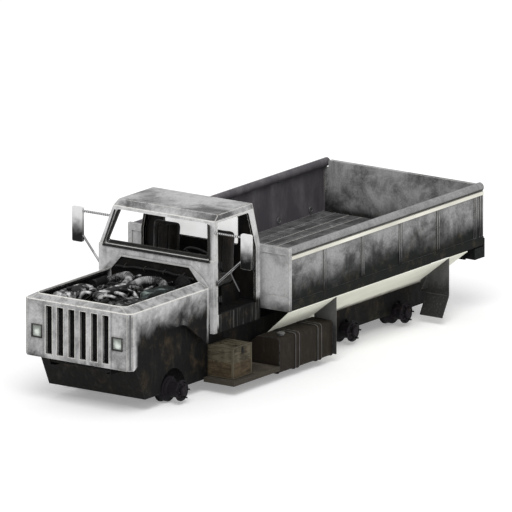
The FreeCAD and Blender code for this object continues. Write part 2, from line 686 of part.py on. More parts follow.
def grille_panel():
    """Front panel with six upright slots, two lamp holes and the cut corners."""
    plan = nose_corners(0, 0, NOSE_Y + NOSE_CORNER)
    inner = [(-NOSE_HALF_WIDTH + NOSE_SHEET, NOSE_Y + NOSE_CORNER + 1),
             (-NOSE_HALF_WIDTH + NOSE_CORNER + NOSE_SHEET, NOSE_Y + GRILLE_THICKNESS),
             (NOSE_HALF_WIDTH - NOSE_CORNER - NOSE_SHEET, NOSE_Y + GRILLE_THICKNESS),
             (NOSE_HALF_WIDTH - NOSE_SHEET, NOSE_Y + NOSE_CORNER + 1)]
    panel = prism(plan[:4], "xy", NOSE_BOTTOM_Z, NOSE_TOP_Z)
    hollow = prism(inner, "xy", NOSE_BOTTOM_Z - 1, NOSE_TOP_Z + 1)
    cuts = [hollow]
    first = -(GRILLE_SLOT_COUNT - 1) / 2 * GRILLE_SLOT_PITCH
    for i in range(GRILLE_SLOT_COUNT):
        x = first + i * GRILLE_SLOT_PITCH
        cuts.append(box(x - GRILLE_SLOT_WIDTH / 2, x + GRILLE_SLOT_WIDTH / 2, NOSE_Y - 1,
                        NOSE_Y + NOSE_CORNER + 1, NOSE_BOTTOM_Z + GRILLE_SLOT_MARGIN,
                        NOSE_TOP_Z - GRILLE_SLOT_MARGIN))
    z = lamp_z()
    for x in (-LAMP_X, LAMP_X):
        cuts.append(box(x - LAMP_WIDTH / 2, x + LAMP_WIDTH / 2, NOSE_Y - 1, NOSE_Y + NOSE_CORNER + 1,
                        z - LAMP_HEIGHT / 2, z + LAMP_HEIGHT / 2))
    return panel.cut(cuts)


def lamp_z():
    return NOSE_BOTTOM_Z + 0.455 * NOSE_HEIGHT


def headlamp():
    """Square lamp with its raised frame and domed glass, seated in the panel's hole."""
    z = lamp_z()
    half_w = LAMP_WIDTH / 2
    half_h = LAMP_HEIGHT / 2
    frame = box(LAMP_X - half_w, LAMP_X + half_w, NOSE_Y - LAMP_PROUD, NOSE_Y + LAMP_DEPTH,
                z - half_h, z + half_h)
    glass_room = box(LAMP_X - half_w + LAMP_BEZEL, LAMP_X + half_w - LAMP_BEZEL,
                     NOSE_Y - LAMP_PROUD - 1, NOSE_Y + 8, z - half_h + LAMP_BEZEL, z + half_h - LAMP_BEZEL)
    dome_radius = 260.0
    dome = Part.makeSphere(dome_radius, Vector(LAMP_X, NOSE_Y - 6 + dome_radius, z))
    lens = dome.common(box(LAMP_X - half_w + LAMP_BEZEL, LAMP_X + half_w - LAMP_BEZEL,
                           NOSE_Y - LAMP_PROUD, NOSE_Y + 8, z - half_h + LAMP_BEZEL,
                           z + half_h - LAMP_BEZEL))
    return union(frame.cut(glass_room), lens)


def arch_outline():
    """Side view of a nose side panel: straight top, sloped wheel arch with round shoulders."""
    y0 = NOSE_Y + NOSE_CORNER
    return [
        (y0, NOSE_TOP_Z),
        (y0, NOSE_BOTTOM_Z),
        (NOSE_Y + 85, NOSE_BOTTOM_Z + 8, 20),
        (FRONT_AXLE_Y - 330, NOSE_BOTTOM_Z + 385, 260),
        (FRONT_AXLE_Y + 140, NOSE_BOTTOM_Z + 385, 220),
        (COWL_Y - 18, NOSE_BOTTOM_Z + 28, 20),
        (COWL_Y, NOSE_BOTTOM_Z + 28),
        (COWL_Y, NOSE_TOP_Z),
    ]


def fender():
    """Side panel of the nose with its wheel arch."""
    return prism(arch_outline(), "yz", NOSE_HALF_WIDTH - NOSE_SHEET, NOSE_HALF_WIDTH)


def bonnet_rim():
    """Sloping border left round the open bonnet, with a turned-down inner lip."""
    low = nose_corners(0, 0, COWL_Y)
    high = nose_corners(RIM_SIDE_WIDTH, RIM_FRONT_WIDTH, COWL_Y)
    shape = Part.makeLoft([outline_wire(low, "xy", NOSE_TOP_Z), outline_wire(high, "xy", RIM_TOP_Z)],
                          True, True)
    under = shape.copy()
    under.translate(Vector(0, 0, -RIM_SHEET))
    opening = prism(high[:4] + [(high[4][0], COWL_Y + 1), (high[5][0], COWL_Y + 1)], "xy",
                    NOSE_TOP_Z - 1, RIM_TOP_Z + 1)
    return shape.cut([under, opening])


def cowl():
    """Humped frame between the nose and the cab, open in the middle to the firewall."""
    z_side = NOSE_TOP_Z + 10
    shoulder_z = RIM_TOP_Z + COWL_SHOULDER_RISE
    hump_z = RIM_TOP_Z + COWL_HUMP_RISE
    outer = [(-NOSE_HALF_WIDTH, CAB_BOTTOM_Z), (NOSE_HALF_WIDTH, CAB_BOTTOM_Z),
             (NOSE_HALF_WIDTH, z_side), (COWL_SHOULDER_X, shoulder_z), (COWL_HUMP_X, hump_z),
             (-COWL_HUMP_X, hump_z), (-COWL_SHOULDER_X, shoulder_z), (-NOSE_HALF_WIDTH, z_side)]
    opening = prism(cowl_opening(), "xz", COWL_Y - 1, CAB_FRONT_Y + 1)
    return prism(outer, "xz", COWL_Y, CAB_FRONT_Y).cut(opening)


def cowl_opening():
    """Outline of the hole in the cowl that the firewall fills."""
    low = CAB_BOTTOM_Z + COWL_OPENING_LIFT
    side_x = COWL_OPENING_X + 25
    side_z = RIM_TOP_Z - 25
    top_x = COWL_HUMP_X - COWL_BORDER
    top_z = RIM_TOP_Z + COWL_HUMP_RISE - COWL_BORDER
    return [(-COWL_OPENING_X, low), (COWL_OPENING_X, low), (side_x, side_z), (top_x, top_z),
            (-top_x, top_z), (-side_x, side_z)]


def firewall():
    """Pressed wall behind the engine, set into the cowl frame."""
    wall = prism(cowl_opening(), "xz", CAB_FRONT_Y - 12, CAB_FRONT_Y)
    ribs = [box(x - 14, x + 14, CAB_FRONT_Y - 22, CAB_FRONT_Y - 12, CAB_BOTTOM_Z + 120, RIM_TOP_Z - 60)
            for x in (-480, -240, 240, 480)]
    return union(wall, *ribs)


def radiator():
    """Radiator with its side tanks, on the first crossmember."""
    y0 = FRAME_FRONT_Y + 25
    y1 = y0 + RADIATOR_THICKNESS
    z0 = FRAME_TOP_Z
    tank_z = RIM_TOP_Z - 130
    half = RADIATOR_HALF_WIDTH
    tank_half = half + 30
    core = box(-half, half, y0, y1, z0, tank_z)
    tanks = [box(-tank_half, tank_half, y0 - 10, y1 + 10, tank_z, tank_z + 90),
             box(-tank_half, tank_half, y0 - 10, y1 + 10, z0, z0 + 60)]
    filler = rod(Vector(0, y0 + 35, tank_z + 90), Vector(0, y0 + 35, tank_z + 118), 36)
    foot_z = FRAME_TOP_Z - (RAIL_HEIGHT - CROSSMEMBER_HEIGHT) / 2
    feet = [box(x - 30, x + 30, y0, y0 + 60, foot_z, FRAME_TOP_Z) for x in (-350, 350)]
    fan_z = CRANK_Z + FAN_RISE
    outer = FAN_RADIUS + 65
    shroud = rod(Vector(0, y1, fan_z), Vector(0, y1 + 55, fan_z), outer)
    shroud = shroud.cut(rod(Vector(0, y1 - 1, fan_z), Vector(0, y1 + 56, fan_z), outer - 15))
    return union(core, *tanks, filler, *feet, shroud)


def bank_cover(side):
    """Ribbed rocker cover on one cylinder bank, tilted outwards."""
    length = ENGINE_LENGTH - 60
    y0 = ENGINE_FRONT_Y + 30
    cover = prism([(-85, 0), (85, 0), (85, 50, 18), (-85, 50, 18)], "xz", y0, y0 + length)
    ribs = []
    count = 7
    for i in range(count):
        y = y0 + 60 + i * (length - 120) / (count - 1)
        ribs.append(prism([(-92, 0), (92, 0), (92, 57, 20), (-92, 57, 20)], "xz", y - 9, y + 9))
    shape = union(cover, *ribs)
    slope = math.atan2(BANK_OUTER_X - BANK_INNER_X, BANK_INNER_RISE - BANK_OUTER_RISE)
    tilt = 90 - math.degrees(slope)
    away = Vector(math.sin(math.radians(tilt)), 0, math.cos(math.radians(tilt))) * SEAT_GAP
    shape.rotate(Vector(0, 0, 0), Y_AXIS, tilt)
    shape.translate(Vector((BANK_OUTER_X + BANK_INNER_X) / 2, 0,
                           CRANK_Z + (BANK_OUTER_RISE + BANK_INNER_RISE) / 2) + away)
    return shape if side > 0 else mirrored(shape)


def engine_block():
    """Vee block with sump, bell housing, gearbox, front cover and cooling fan."""
    y0 = ENGINE_FRONT_Y
    y1 = y0 + ENGINE_LENGTH
    core = prism([(-120, CRANK_Z - 90), (120, CRANK_Z - 90), (190, CRANK_Z + 40), (150, CRANK_Z + 160),
                  (BANK_OUTER_X, CRANK_Z + BANK_OUTER_RISE), (BANK_INNER_X, CRANK_Z + BANK_INNER_RISE),
                  (VALLEY_X, CRANK_Z + VALLEY_RISE), (-VALLEY_X, CRANK_Z + VALLEY_RISE),
                  (-BANK_INNER_X, CRANK_Z + BANK_INNER_RISE), (-BANK_OUTER_X, CRANK_Z + BANK_OUTER_RISE),
                  (-150, CRANK_Z + 160), (-190, CRANK_Z + 40)], "xz", y0, y1)
    sump_top = CRANK_Z - 90
    sump = prism([(-110, sump_top - SUMP_DEPTH, 30), (110, sump_top - SUMP_DEPTH, 30), (120, sump_top),
                  (-120, sump_top)], "xz", y0 + 40, y1 - 40)
    bell = Part.makeCone(BELL_RADIUS, 150, BELL_LENGTH, Vector(0, y1, CRANK_Z + 30), Y_AXIS)
    box_half = GEARBOX_HALF_WIDTH
    gearbox = prism([(-box_half, CRANK_Z - 90, 30), (box_half, CRANK_Z - 90, 30),
                     (box_half, CRANK_Z + 100, 40), (-box_half, CRANK_Z + 100, 40)],
                    "xz", y1 + BELL_LENGTH, y1 + BELL_LENGTH + GEARBOX_LENGTH)
    pulley = rod(Vector(0, y0 - 50, CRANK_Z), Vector(0, y0, CRANK_Z), 95)
    fan_z = CRANK_Z + FAN_RISE
    shaft = rod(Vector(0, y0 - 90, fan_z), Vector(0, y0, fan_z), 30)
    hub_disc = rod(Vector(0, y0 - 100, fan_z), Vector(0, y0 - 60, fan_z), 62)
    blade = box(-34, 34, y0 - 92, y0 - 84, fan_z + 40, fan_z + FAN_RADIUS)
    blade.rotate(Vector(0, y0 - 88, fan_z), Z_AXIS, 28)
    blades = []
    for i in range(FAN_BLADE_COUNT):
        one = blade.copy()
        one.rotate(Vector(0, y0 - 88, fan_z), Y_AXIS, 360 / FAN_BLADE_COUNT * i)
        blades.append(one)
    mounts = []
    for side in (-1, 1):
        x = side * (RAIL_OUTER_X - RAIL_WALL)
        inner = side * 150
        mounts.append(box(min(x, inner), max(x, inner), y0 + 300, y0 + 400, CRANK_Z - 30, CRANK_Z + 20))
    return union(core, sump, bell, gearbox, pulley, shaft, hub_disc, *blades, *mounts)


def engine_top():
    """Rocker covers, inlet manifold and the round air cleaner above the vee."""
    y0 = ENGINE_FRONT_Y
    y1 = y0 + ENGINE_LENGTH
    valley_z = CRANK_Z + VALLEY_RISE
    manifold = prism([(2 - VALLEY_X, valley_z + SEAT_GAP), (VALLEY_X - 2, valley_z + SEAT_GAP),
                      (148, valley_z + 97), (130, valley_z + 145, 20), (-130, valley_z + 145, 20),
                      (-148, valley_z + 97)], "xz", y0 + 90, y1 - 90)
    neck_low = Vector(0, (y0 + y1) / 2, valley_z + 130)
    neck_top = neck_low + Z_AXIS * 90
    pan_top = neck_top + Z_AXIS * AIR_CLEANER_HEIGHT
    neck = rod(neck_low, neck_top, 75)
    pan = rod(neck_top, pan_top, AIR_CLEANER_RADIUS)
    lid = rod(pan_top, pan_top + Z_AXIS * 16, AIR_CLEANER_RADIUS - 15)
    nut = rod(pan_top + Z_AXIS * 16, pan_top + Z_AXIS * 40, 16)
    return union(bank_cover(1), bank_cover(-1), manifold, neck, pan, lid, nut)


def battery():
    """Battery with its two posts, on a tray against the left side of the bay."""
    x1 = NOSE_HALF_WIDTH - BATTERY_INSET
    y0 = COWL_Y - 420
    z0 = FRAME_TOP_Z + TRAY_RISE
    top = z0 + BATTERY_HEIGHT
    margin = 10
    case_x = x1 - margin - BATTERY_WIDTH
    case_y = y0 + margin
    tray = box(case_x - margin, x1, y0, case_y + BATTERY_LENGTH + margin, z0 - 12, z0)
    case = box(case_x, x1 - margin, case_y, case_y + BATTERY_LENGTH, z0, top)
    posts = []
    for y in (case_y + BATTERY_POST, case_y + BATTERY_LENGTH - 2 * BATTERY_POST):
        posts.append(box(case_x + 40, case_x + 40 + BATTERY_POST, y, y + BATTERY_POST, top, top + 20))
    return union(tray, case, *posts)


def header_tank():
    """Coolant header tank on its bracket, against the right side of the bay."""
    wall_x = BATTERY_INSET - NOSE_HALF_WIDTH
    x = wall_x + HEADER_TANK_RADIUS + 20
    y0 = COWL_Y - 480
    z = FRAME_TOP_Z + TRAY_RISE + 300
    bracket = disc_x(wall_x, wall_x + 40, y0 + 120, z, 30)
    return union(bracket, rod(Vector(x, y0, z), Vector(x, y0 + HEADER_TANK_LENGTH, z), HEADER_TANK_RADIUS))


def engine_fittings():
    return Part.makeCompound([battery(), header_tank()])


def exhaust():
    """Silencer hung below the right side member, with its pipes."""
    x = -(RAIL_OUTER_X + SKIRT_X - SKIRT_SHEET) / 2
    y0 = CAB_REAR_Y + 120
    y1 = y0 + SILENCER_LENGTH
    z = FRAME_BOTTOM_Z + 90
    pipe = EXHAUST_PIPE_RADIUS
    body = rod(Vector(x, y0, z), Vector(x, y1, z), SILENCER_RADIUS)
    inlet = rod(Vector(x, CAB_FRONT_Y + 200, z), Vector(x, y0, z), pipe)
    outlet = rod(Vector(x, y1, z), Vector(x, y1 + 0.62 * (MIDDLE_AXLE_Y - y1), z), pipe)
    hangers = [box(x, -RAIL_OUTER_X, y - 15, y + 15, z - 12, z + 12) for y in (y0 + 80, y1 - 80)]
    return union(body, inlet, outlet, *hangers)


# Cab

def cab_solid(inset, top_drop):
    """Cab volume: upright below the belt, leaning in above it, with a sloping visor band."""
    half = CAB_HALF_WIDTH - inset
    rear = CAB_REAR_Y - inset
    lower = box(-half, half, CAB_FRONT_Y + inset, rear, CAB_BOTTOM_Z, BELT_Z)
    screen_y = CAB_FRONT_Y + WINDSCREEN_SETBACK + inset
    eaves_y = screen_y + WINDSCREEN_RAKE
    roof_y = eaves_y + VISOR_DEPTH
    sections = [section(half, screen_y, rear, BELT_Z),
                section(half - CAB_EAVES_INSET, eaves_y, rear, EAVES_Z),
                section(half - CAB_ROOF_INSET, roof_y, rear, ROOF_Z - top_drop)]
    upper = Part.makeLoft(sections[:2], True, True)
    crown = Part.makeLoft(sections[1:], True, True)
    return union(lower, upper, crown)


def cab_shell():
    inner = cab_solid(CAB_WALL, CAB_WALL)
    below = box(-CAB_HALF_WIDTH + CAB_WALL, CAB_HALF_WIDTH - CAB_WALL, CAB_FRONT_Y + CAB_WALL,
                CAB_REAR_Y - CAB_WALL, CAB_BOTTOM_Z - 1, CAB_BOTTOM_Z + 1)
    return cab_solid(0, 0).cut([inner, below])


def post_line():
    """Side view of the region in front of the door openings."""
    foot = CAB_FRONT_Y + DOOR_FRONT_MARGIN - 20
    screen = WINDSCREEN_SETBACK + WINDSCREEN_RAKE
    return [(CAB_FRONT_Y - 1, CAB_BOTTOM_Z - 1), (foot, CAB_BOTTOM_Z - 1), (foot, BELT_Z),
            (foot + WINDSCREEN_RAKE, EAVES_Z), (CAB_FRONT_Y + screen - 30, EAVES_Z),
            (CAB_FRONT_Y - 1, BELT_Z)]


def front_zone():
    reach = CAB_HALF_WIDTH + 1
    return prism(post_line(), "yz", -reach, reach)


def rear_zone():
    reach = CAB_HALF_WIDTH + 1
    return box(-reach, reach, CAB_REAR_Y - CAB_WALL, CAB_REAR_Y + 1, CAB_BOTTOM_Z - 1, EAVES_Z)


def roof_zone():
    reach = CAB_HALF_WIDTH + 1
    return box(-reach, reach, CAB_FRONT_Y - 1, CAB_REAR_Y + 1, EAVES_Z, ROOF_Z + 1)


def windscreen_frame(shell):
    """Front of the cab with the windscreen opening, which tapers with the leaning sides."""
    low_half = CAB_HALF_WIDTH - 80
    rise = CAB_EAVES_HEIGHT - 35
    high_half = low_half - CAB_EAVES_INSET * rise / CAB_EAVES_HEIGHT
    corner = SCREEN_CORNER
    opening = prism([(-low_half, BELT_Z + 3, corner), (low_half, BELT_Z + 3, corner),
                     (high_half, BELT_Z + rise, corner), (-high_half, BELT_Z + rise, corner)],
                    "xz", CAB_FRONT_Y - 10, CAB_FRONT_Y + 400)
    return shell.common(front_zone()).cut(opening)


def door_opening():
    """Side view of a door opening."""
    front = CAB_FRONT_Y + DOOR_FRONT_MARGIN
    rear = CAB_REAR_Y - DOOR_REAR_MARGIN
    top = EAVES_Z - DOOR_TOP_MARGIN
    lean = WINDSCREEN_RAKE * (CAB_EAVES_HEIGHT - DOOR_TOP_MARGIN) / CAB_EAVES_HEIGHT
    return [(front, CAB_FLOOR_Z), (rear, CAB_FLOOR_Z), (rear, BELT_Z, 200),
            (rear - 25, top, 30), (front + lean, top, 30), (front, BELT_Z, 60)]


def cab_side(shell):
    """Left side of the cab: posts and header round the open doorway, seated on the sill."""
    half_space = box(0, CAB_HALF_WIDTH + 1, CAB_FRONT_Y - 1, CAB_REAR_Y + 1, CAB_BOTTOM_Z - 1, EAVES_Z)
    side = shell.common(half_space).cut([front_zone(), rear_zone()])
    doorway = prism(door_opening(), "yz", CAB_HALF_WIDTH / 2, CAB_HALF_WIDTH + 1)
    seam = box(0, CAB_HALF_WIDTH + 1, CAB_FRONT_Y - 1, CAB_REAR_Y + 1, CAB_FLOOR_Z - SEAT_GAP, CAB_FLOOR_Z)
    return side.cut([doorway, seam])


def rear_pane_outline(gap):
    """Outline of the rear window, drawn in by a gap."""
    low = BELT_Z - REAR_PANE_BELOW_BELT + gap
    high = EAVES_Z - REAR_PANE_TOP_MARGIN - gap
    half = REAR_PANE_HALF_WIDTH - gap
    corner = REAR_PANE_CORNER - gap
    return [(-half, low, corner), (half, low, corner), (half, high, corner), (-half, high, corner)]


def cab_rear_wall(shell):
    """Rear wall of the cab with its one wide window."""
    hole = prism(rear_pane_outline(0), "xz", CAB_REAR_Y - CAB_WALL - 1, CAB_REAR_Y + 1)
    return shell.common(rear_zone()).cut(hole)


def rear_glass():
    """Pane that is left in the rear window."""
    y = CAB_REAR_Y - CAB_WALL / 2
    return prism(rear_pane_outline(SEAT_GAP), "xz", y - PANE_THICKNESS / 2, y + PANE_THICKNESS / 2)


def cab_roof(shell):
    return shell.common(roof_zone())


def cab_floor():
    """Floor pan with a raised tunnel, bearers down to the frame and the seat boxes."""
    half = CAB_HALF_WIDTH - CAB_WALL
    y0 = CAB_FRONT_Y + CAB_WALL
    y1 = CAB_REAR_Y - CAB_WALL
    pan = box(-half, half, y0, y1, CAB_FLOOR_Z - 40, CAB_FLOOR_Z)
    bearers = []
    for y in (y0 + 60, y1 - 160):
        for x in (-RAIL_OUTER_X + RAIL_WIDTH / 2, RAIL_OUTER_X - RAIL_WIDTH / 2):
            bearers.append(box(x - 35, x + 35, y, y + 100, FRAME_TOP_Z, CAB_FLOOR_Z - 40))
    box_half = SEAT_WIDTH / 2 - 25
    seat_boxes = [box(x - box_half, x + box_half, y1 - 440, y1 - 60, CAB_FLOOR_Z,
                      CAB_FLOOR_Z + SEAT_BOX_HEIGHT) for x in (-SEAT_X, SEAT_X)]
    tunnel = prism([(-170, CAB_FLOOR_Z), (170, CAB_FLOOR_Z), (110, CAB_FLOOR_Z + 150, 40),
                    (-110, CAB_FLOOR_Z + 150, 40)], "xz", y0, y0 + 520)
    return union(pan, *bearers, *seat_boxes, tunnel)


def seat(x):
    """Seat cushion and its tall backrest."""
    z = CAB_FLOOR_Z + SEAT_BOX_HEIGHT
    half = SEAT_WIDTH / 2
    top_rear = CAB_REAR_Y - CAB_WALL - SEAT_WALL_GAP
    top_front = top_rear - SEAT_BACK_THICKNESS
    foot_rear = top_rear - SEAT_BACK_LEAN
    foot_front = top_front - SEAT_BACK_LEAN
    nose = foot_front - SEAT_CUSHION_LENGTH
    cushion = prism([(nose, z, 20), (foot_rear, z, 20), (foot_rear, z + SEAT_CUSHION_HEIGHT, 30),
                     (nose, z + SEAT_CUSHION_HEIGHT, 45)], "yz", x - half, x + half)
    foot_z = z + SEAT_CUSHION_HEIGHT / 2
    head_z = z + SEAT_BACK_HEIGHT
    back = prism([(foot_front, foot_z, 20), (foot_rear, foot_z, 20), (top_rear, head_z, 35),
                  (top_front, head_z, 45)], "yz", x - half + 10, x + half - 10)
    return union(cushion, back)


def seats():
    return Part.makeCompound([seat(-SEAT_X), seat(SEAT_X)])


def dashboard():
    """Dash panel with its instrument hood, and the steering column."""
    half = CAB_HALF_WIDTH - CAB_WALL
    y0 = CAB_FRONT_Y + CAB_WALL
    dash = prism([(y0, BELT_Z - 230), (y0 + 90, BELT_Z - 230), (y0 + 150, BELT_Z - 60, 25),
                  (y0 + 120, BELT_Z - 15, 20), (y0, BELT_Z - 15)], "yz", -half, half)
    hood = prism([(y0 + 60, BELT_Z - 190), (y0 + 150, BELT_Z - 190), (y0 + 185, BELT_Z - 40, 20),
                  (y0 + 60, BELT_Z + 8, 20)], "yz", 250, 560)
    top = column_top()
    foot = top - column_axis() * 620
    wall = box(-half, half, CAB_FRONT_Y - CAB_LENGTH, y0, CAB_BOTTOM_Z, BELT_Z)
    column = rod(foot, top - column_axis() * 20, COLUMN_RADIUS).cut(wall)
    return union(dash, hood, column)


def column_axis():
    return Vector(0, 0.72, 0.694).normalize()


def column_top():
    return Vector(COLUMN_X, CAB_FRONT_Y + 390, BELT_Z - 95)


def steering_wheel():
    """Three-spoked wheel on the column's end."""
    radius = STEERING_WHEEL_RADIUS
    ring = Part.makeTorus(radius, 14, Vector(0, 0, 0), Z_AXIS)
    boss = Part.makeCylinder(42, 50, Vector(0, 0, -20 + SEAT_GAP), Z_AXIS)
    spokes = []
    for i in range(3):
        spoke = Part.makeCylinder(9, radius, Vector(0, 0, 0), X_AXIS)
        spoke.rotate(Vector(0, 0, 0), Z_AXIS, 90 + 120 * i)
        spokes.append(spoke)
    wheel = union(ring, boss, *spokes)
    wheel.Placement = FreeCAD.Placement(column_top(), FreeCAD.Rotation(Z_AXIS, column_axis()))
    return wheel


def mirror():
    """Tall mirror on an upper and a lower arm."""
    x1 = MIRROR_OUTER_X
    x0 = x1 - MIRROR_WIDTH
    y = CAB_FRONT_Y + 130
    z0 = BELT_Z - 72
    z1 = z0 + MIRROR_HEIGHT
    case = prism([(x0, z0, 22), (x1, z0, 22), (x1, z1, 22), (x0, z1, 22)], "xz",
                 y - MIRROR_THICKNESS / 2, y + MIRROR_THICKNESS / 2)
    upper_z = z1 - 50
    lean = CAB_EAVES_INSET / CAB_EAVES_HEIGHT
    upper_x = pillar_x(upper_z) + MIRROR_ARM_RADIUS * lean + SEAT_GAP
    upper = rod(Vector(upper_x, y, upper_z), Vector(x0 + 25, y, upper_z), MIRROR_ARM_RADIUS)
    lower_z = BELT_Z - 300
    lower = rod(Vector(CAB_HALF_WIDTH, CAB_FRONT_Y + 60, lower_z), Vector(x0 + 25, y, z0 + 100),
                MIRROR_ARM_RADIUS)
    foot = box(CAB_HALF_WIDTH, CAB_HALF_WIDTH + 10, CAB_FRONT_Y + 40, CAB_FRONT_Y + 80,
               lower_z - 30, lower_z + 30)
    cab_room = box(0, CAB_HALF_WIDTH, CAB_FRONT_Y, CAB_REAR_Y, CAB_BOTTOM_Z, BELT_Z)
    return union(case, upper, lower.cut(cab_room), foot)


def pillar_x(z):
    """Outside face of the cab at a height above the belt."""
    return CAB_HALF_WIDTH - CAB_EAVES_INSET * (z - BELT_Z) / CAB_EAVES_HEIGHT


# Cargo bed

def bed_side():
    """Left side wall: lower rail, sheet with upright ribs, ledge and top pipe."""
    half = BED_WIDTH / 2
    y0 = BED_FRONT_Y + HEADBOARD_THICKNESS
    y1 = BED_REAR_Y
    rail_in = half - BED_RAIL_WIDTH
    sheet_out = half - BED_RIB_PROUD - 3
    sheet_in = sheet_out - BED_SHEET
    lower = prism([(rail_in, BED_BOTTOM_Z), (half, BED_BOTTOM_Z, 18), (half, BED_FLOOR_Z, 22),
                   (rail_in, BED_FLOOR_Z)], "xz", y0, y1)
    sheet = box(sheet_in, sheet_out, y0, y1, BED_FLOOR_Z, BED_SHEET_TOP_Z + 10)
    ledge = box(sheet_in, half - 2, y0, y1, BED_SHEET_TOP_Z - 22, BED_SHEET_TOP_Z)
    radius = BED_PIPE_DIAMETER / 2
    pipe = rod(Vector(half - radius, y0, BED_SHEET_TOP_Z + radius),
               Vector(half - radius, y1, BED_SHEET_TOP_Z + radius), radius)
    ribs = []
    count = int(BED_LENGTH / BED_BAY)
    for i in range(count + 1):
        y = min(BED_FRONT_Y + 790 + i * BED_BAY, y1 - BED_RIB_WIDTH / 2 - 10)
        ribs.append(prism([(sheet_out - 1, y - BED_RIB_WIDTH / 2),
                           (sheet_out + BED_RIB_PROUD, y - BED_RIB_WIDTH / 2 + 9),
                           (sheet_out + BED_RIB_PROUD, y - 9), (sheet_out + 3, y),
                           (sheet_out + BED_RIB_PROUD, y + 9),
                           (sheet_out + BED_RIB_PROUD, y + BED_RIB_WIDTH / 2 - 9),
                           (sheet_out - 1, y + BED_RIB_WIDTH / 2)], "xy",
                          BED_FLOOR_Z - 10, BED_SHEET_TOP_Z - 22))
    post = box(rail_in, sheet_in + 1, y1 - TAILGATE_THICKNESS, y1, BED_FLOOR_Z, BED_SHEET_TOP_Z + 10)
    return union(lower, sheet, ledge, pipe, post, *ribs)


def bed_headboard():
    """Front wall of the bed, full width, with a folded border."""
    half = BED_WIDTH / 2
    y0 = BED_FRONT_Y
    board = box(-half, half, y0, y0 + HEADBOARD_THICKNESS, BED_BOTTOM_Z, BED_TOP_Z)
    panel = prism([(-half + 60, BED_FLOOR_Z + 60), (half - 60, BED_FLOOR_Z + 60),
                   (half - 60, BED_TOP_Z - 90), (-half + 60, BED_TOP_Z - 90)], "xz", y0 - 1, y0 + 12)
    return board.cut(panel)


def sill_places():
    """Places of the cross sills under the bed floor."""
    first = BED_FRONT_Y + HEADBOARD_THICKNESS + 120
    last = BED_REAR_Y - TAILGATE_THICKNESS - 160
    count = 9
    return [first + i * (last - first) / (count - 1) for i in range(count)]


def bed_sills():
    """Cross sills under the floor, on two long sills that lie on the frame."""
    half = BED_WIDTH / 2 - BED_RAIL_WIDTH
    top = BED_FLOOR_Z - BED_FLOOR_THICKNESS
    low = top - SILL_HEIGHT
    sills = []
    for y in sill_places():
        sills.append(prism([(-half, top), (-half, top - SILL_END), (-half + SILL_TAPER, low),
                            (half - SILL_TAPER, low), (half, top - SILL_END), (half, top)],
                           "xz", y - SILL_WIDTH / 2, y + SILL_WIDTH / 2))
    long_x = RAIL_OUTER_X - RAIL_WIDTH / 2
    for x in (-long_x, long_x):
        sills.append(box(x - SILL_WIDTH / 2, x + SILL_WIDTH / 2, BED_FRONT_Y + HEADBOARD_THICKNESS,
                         FLOOR_REAR_Y, FRAME_TOP_Z, low))
    return Part.makeCompound(sills)


def bed_floor():
    """Grooved floor plate with the ears of the tailgate's hinges."""
    half = BED_WIDTH / 2 - BED_RAIL_WIDTH
    y0 = BED_FRONT_Y + HEADBOARD_THICKNESS
    y1 = FLOOR_REAR_Y
    plate = box(-half, half, y0, y1, BED_FLOOR_Z - BED_FLOOR_THICKNESS, BED_FLOOR_Z)
    grooves = []
    pitch = 2 * half / 12
    for i in range(1, 12):
        x = -half + i * pitch
        grooves.append(box(x - 5, x + 5, y0 - 1, y1 + 1, BED_FLOOR_Z - 7, BED_FLOOR_Z + 1))
    pin = tailgate_hinge()
    ears = []
    for x in hinge_places():
        for side in (-1, 1):
            inner = x + side * (HINGE_WIDTH / 2 + SEAT_GAP)
            outer = inner + side * HINGE_EAR
            ears.append(rod(Vector(inner, pin.y, pin.z), Vector(outer, pin.y, pin.z), HINGE_RADIUS))
            ears.append(box(min(inner, outer), max(inner, outer), y1 - 10, pin.y,
                            pin.z - HINGE_RADIUS, pin.z + HINGE_DROP))
    return union(plate.cut(grooves), *ears)


def tailgate_hinge():
    """Point on the tailgate's hinge line."""
    return Vector(0, BED_REAR_Y - 15, BED_FLOOR_Z - HINGE_DROP)


def hinge_places():
    reach = BED_WIDTH / 2 - 430
    return (-reach, 0, reach)


def tailgate():
    """Drop tailgate with pressed panels, top roll and hinge knuckles."""
    half = BED_WIDTH / 2 - BED_RAIL_WIDTH - TAILGATE_SIDE_GAP
    y1 = BED_REAR_Y
    y0 = y1 - TAILGATE_THICKNESS
    z0 = BED_FLOOR_Z + TAILGATE_FLOOR_GAP
    z1 = BED_TOP_Z - 20
    pin = tailgate_hinge()
    knuckles = []
    for x in hinge_places():
        knuckles.append(rod(Vector(x - HINGE_WIDTH / 2, pin.y, pin.z),
                            Vector(x + HINGE_WIDTH / 2, pin.y, pin.z), HINGE_RADIUS))
        knuckles.append(box(x - HINGE_WIDTH / 2, x + HINGE_WIDTH / 2, pin.y - HINGE_RADIUS,
                            pin.y + HINGE_RADIUS, pin.z, z0))
    shoulder_x = BED_WIDTH / 2 - BED_PIPE_DIAMETER - TAILGATE_SIDE_GAP
    shoulder_z = BED_SHEET_TOP_Z - TAILGATE_SIDE_GAP - 4
    panel = prism([(-half, z0), (half, z0), (half, shoulder_z), (shoulder_x, shoulder_z),
                   (shoulder_x, z1, 20), (-shoulder_x, z1, 20), (-shoulder_x, shoulder_z),
                   (-half, shoulder_z)], "xz", y0, y1)
    recesses = []
    count = 4
    bay = (2 * half - 60) / count
    for i in range(count):
        x = -half + 30 + i * bay
        recesses.append(box(x + 30, x + bay - 30, y1 - 12, y1 + 1, z0 + 90, z1 - 90))
    return union(panel.cut(recesses), *knuckles)


# Underbody panels, tanks, steps

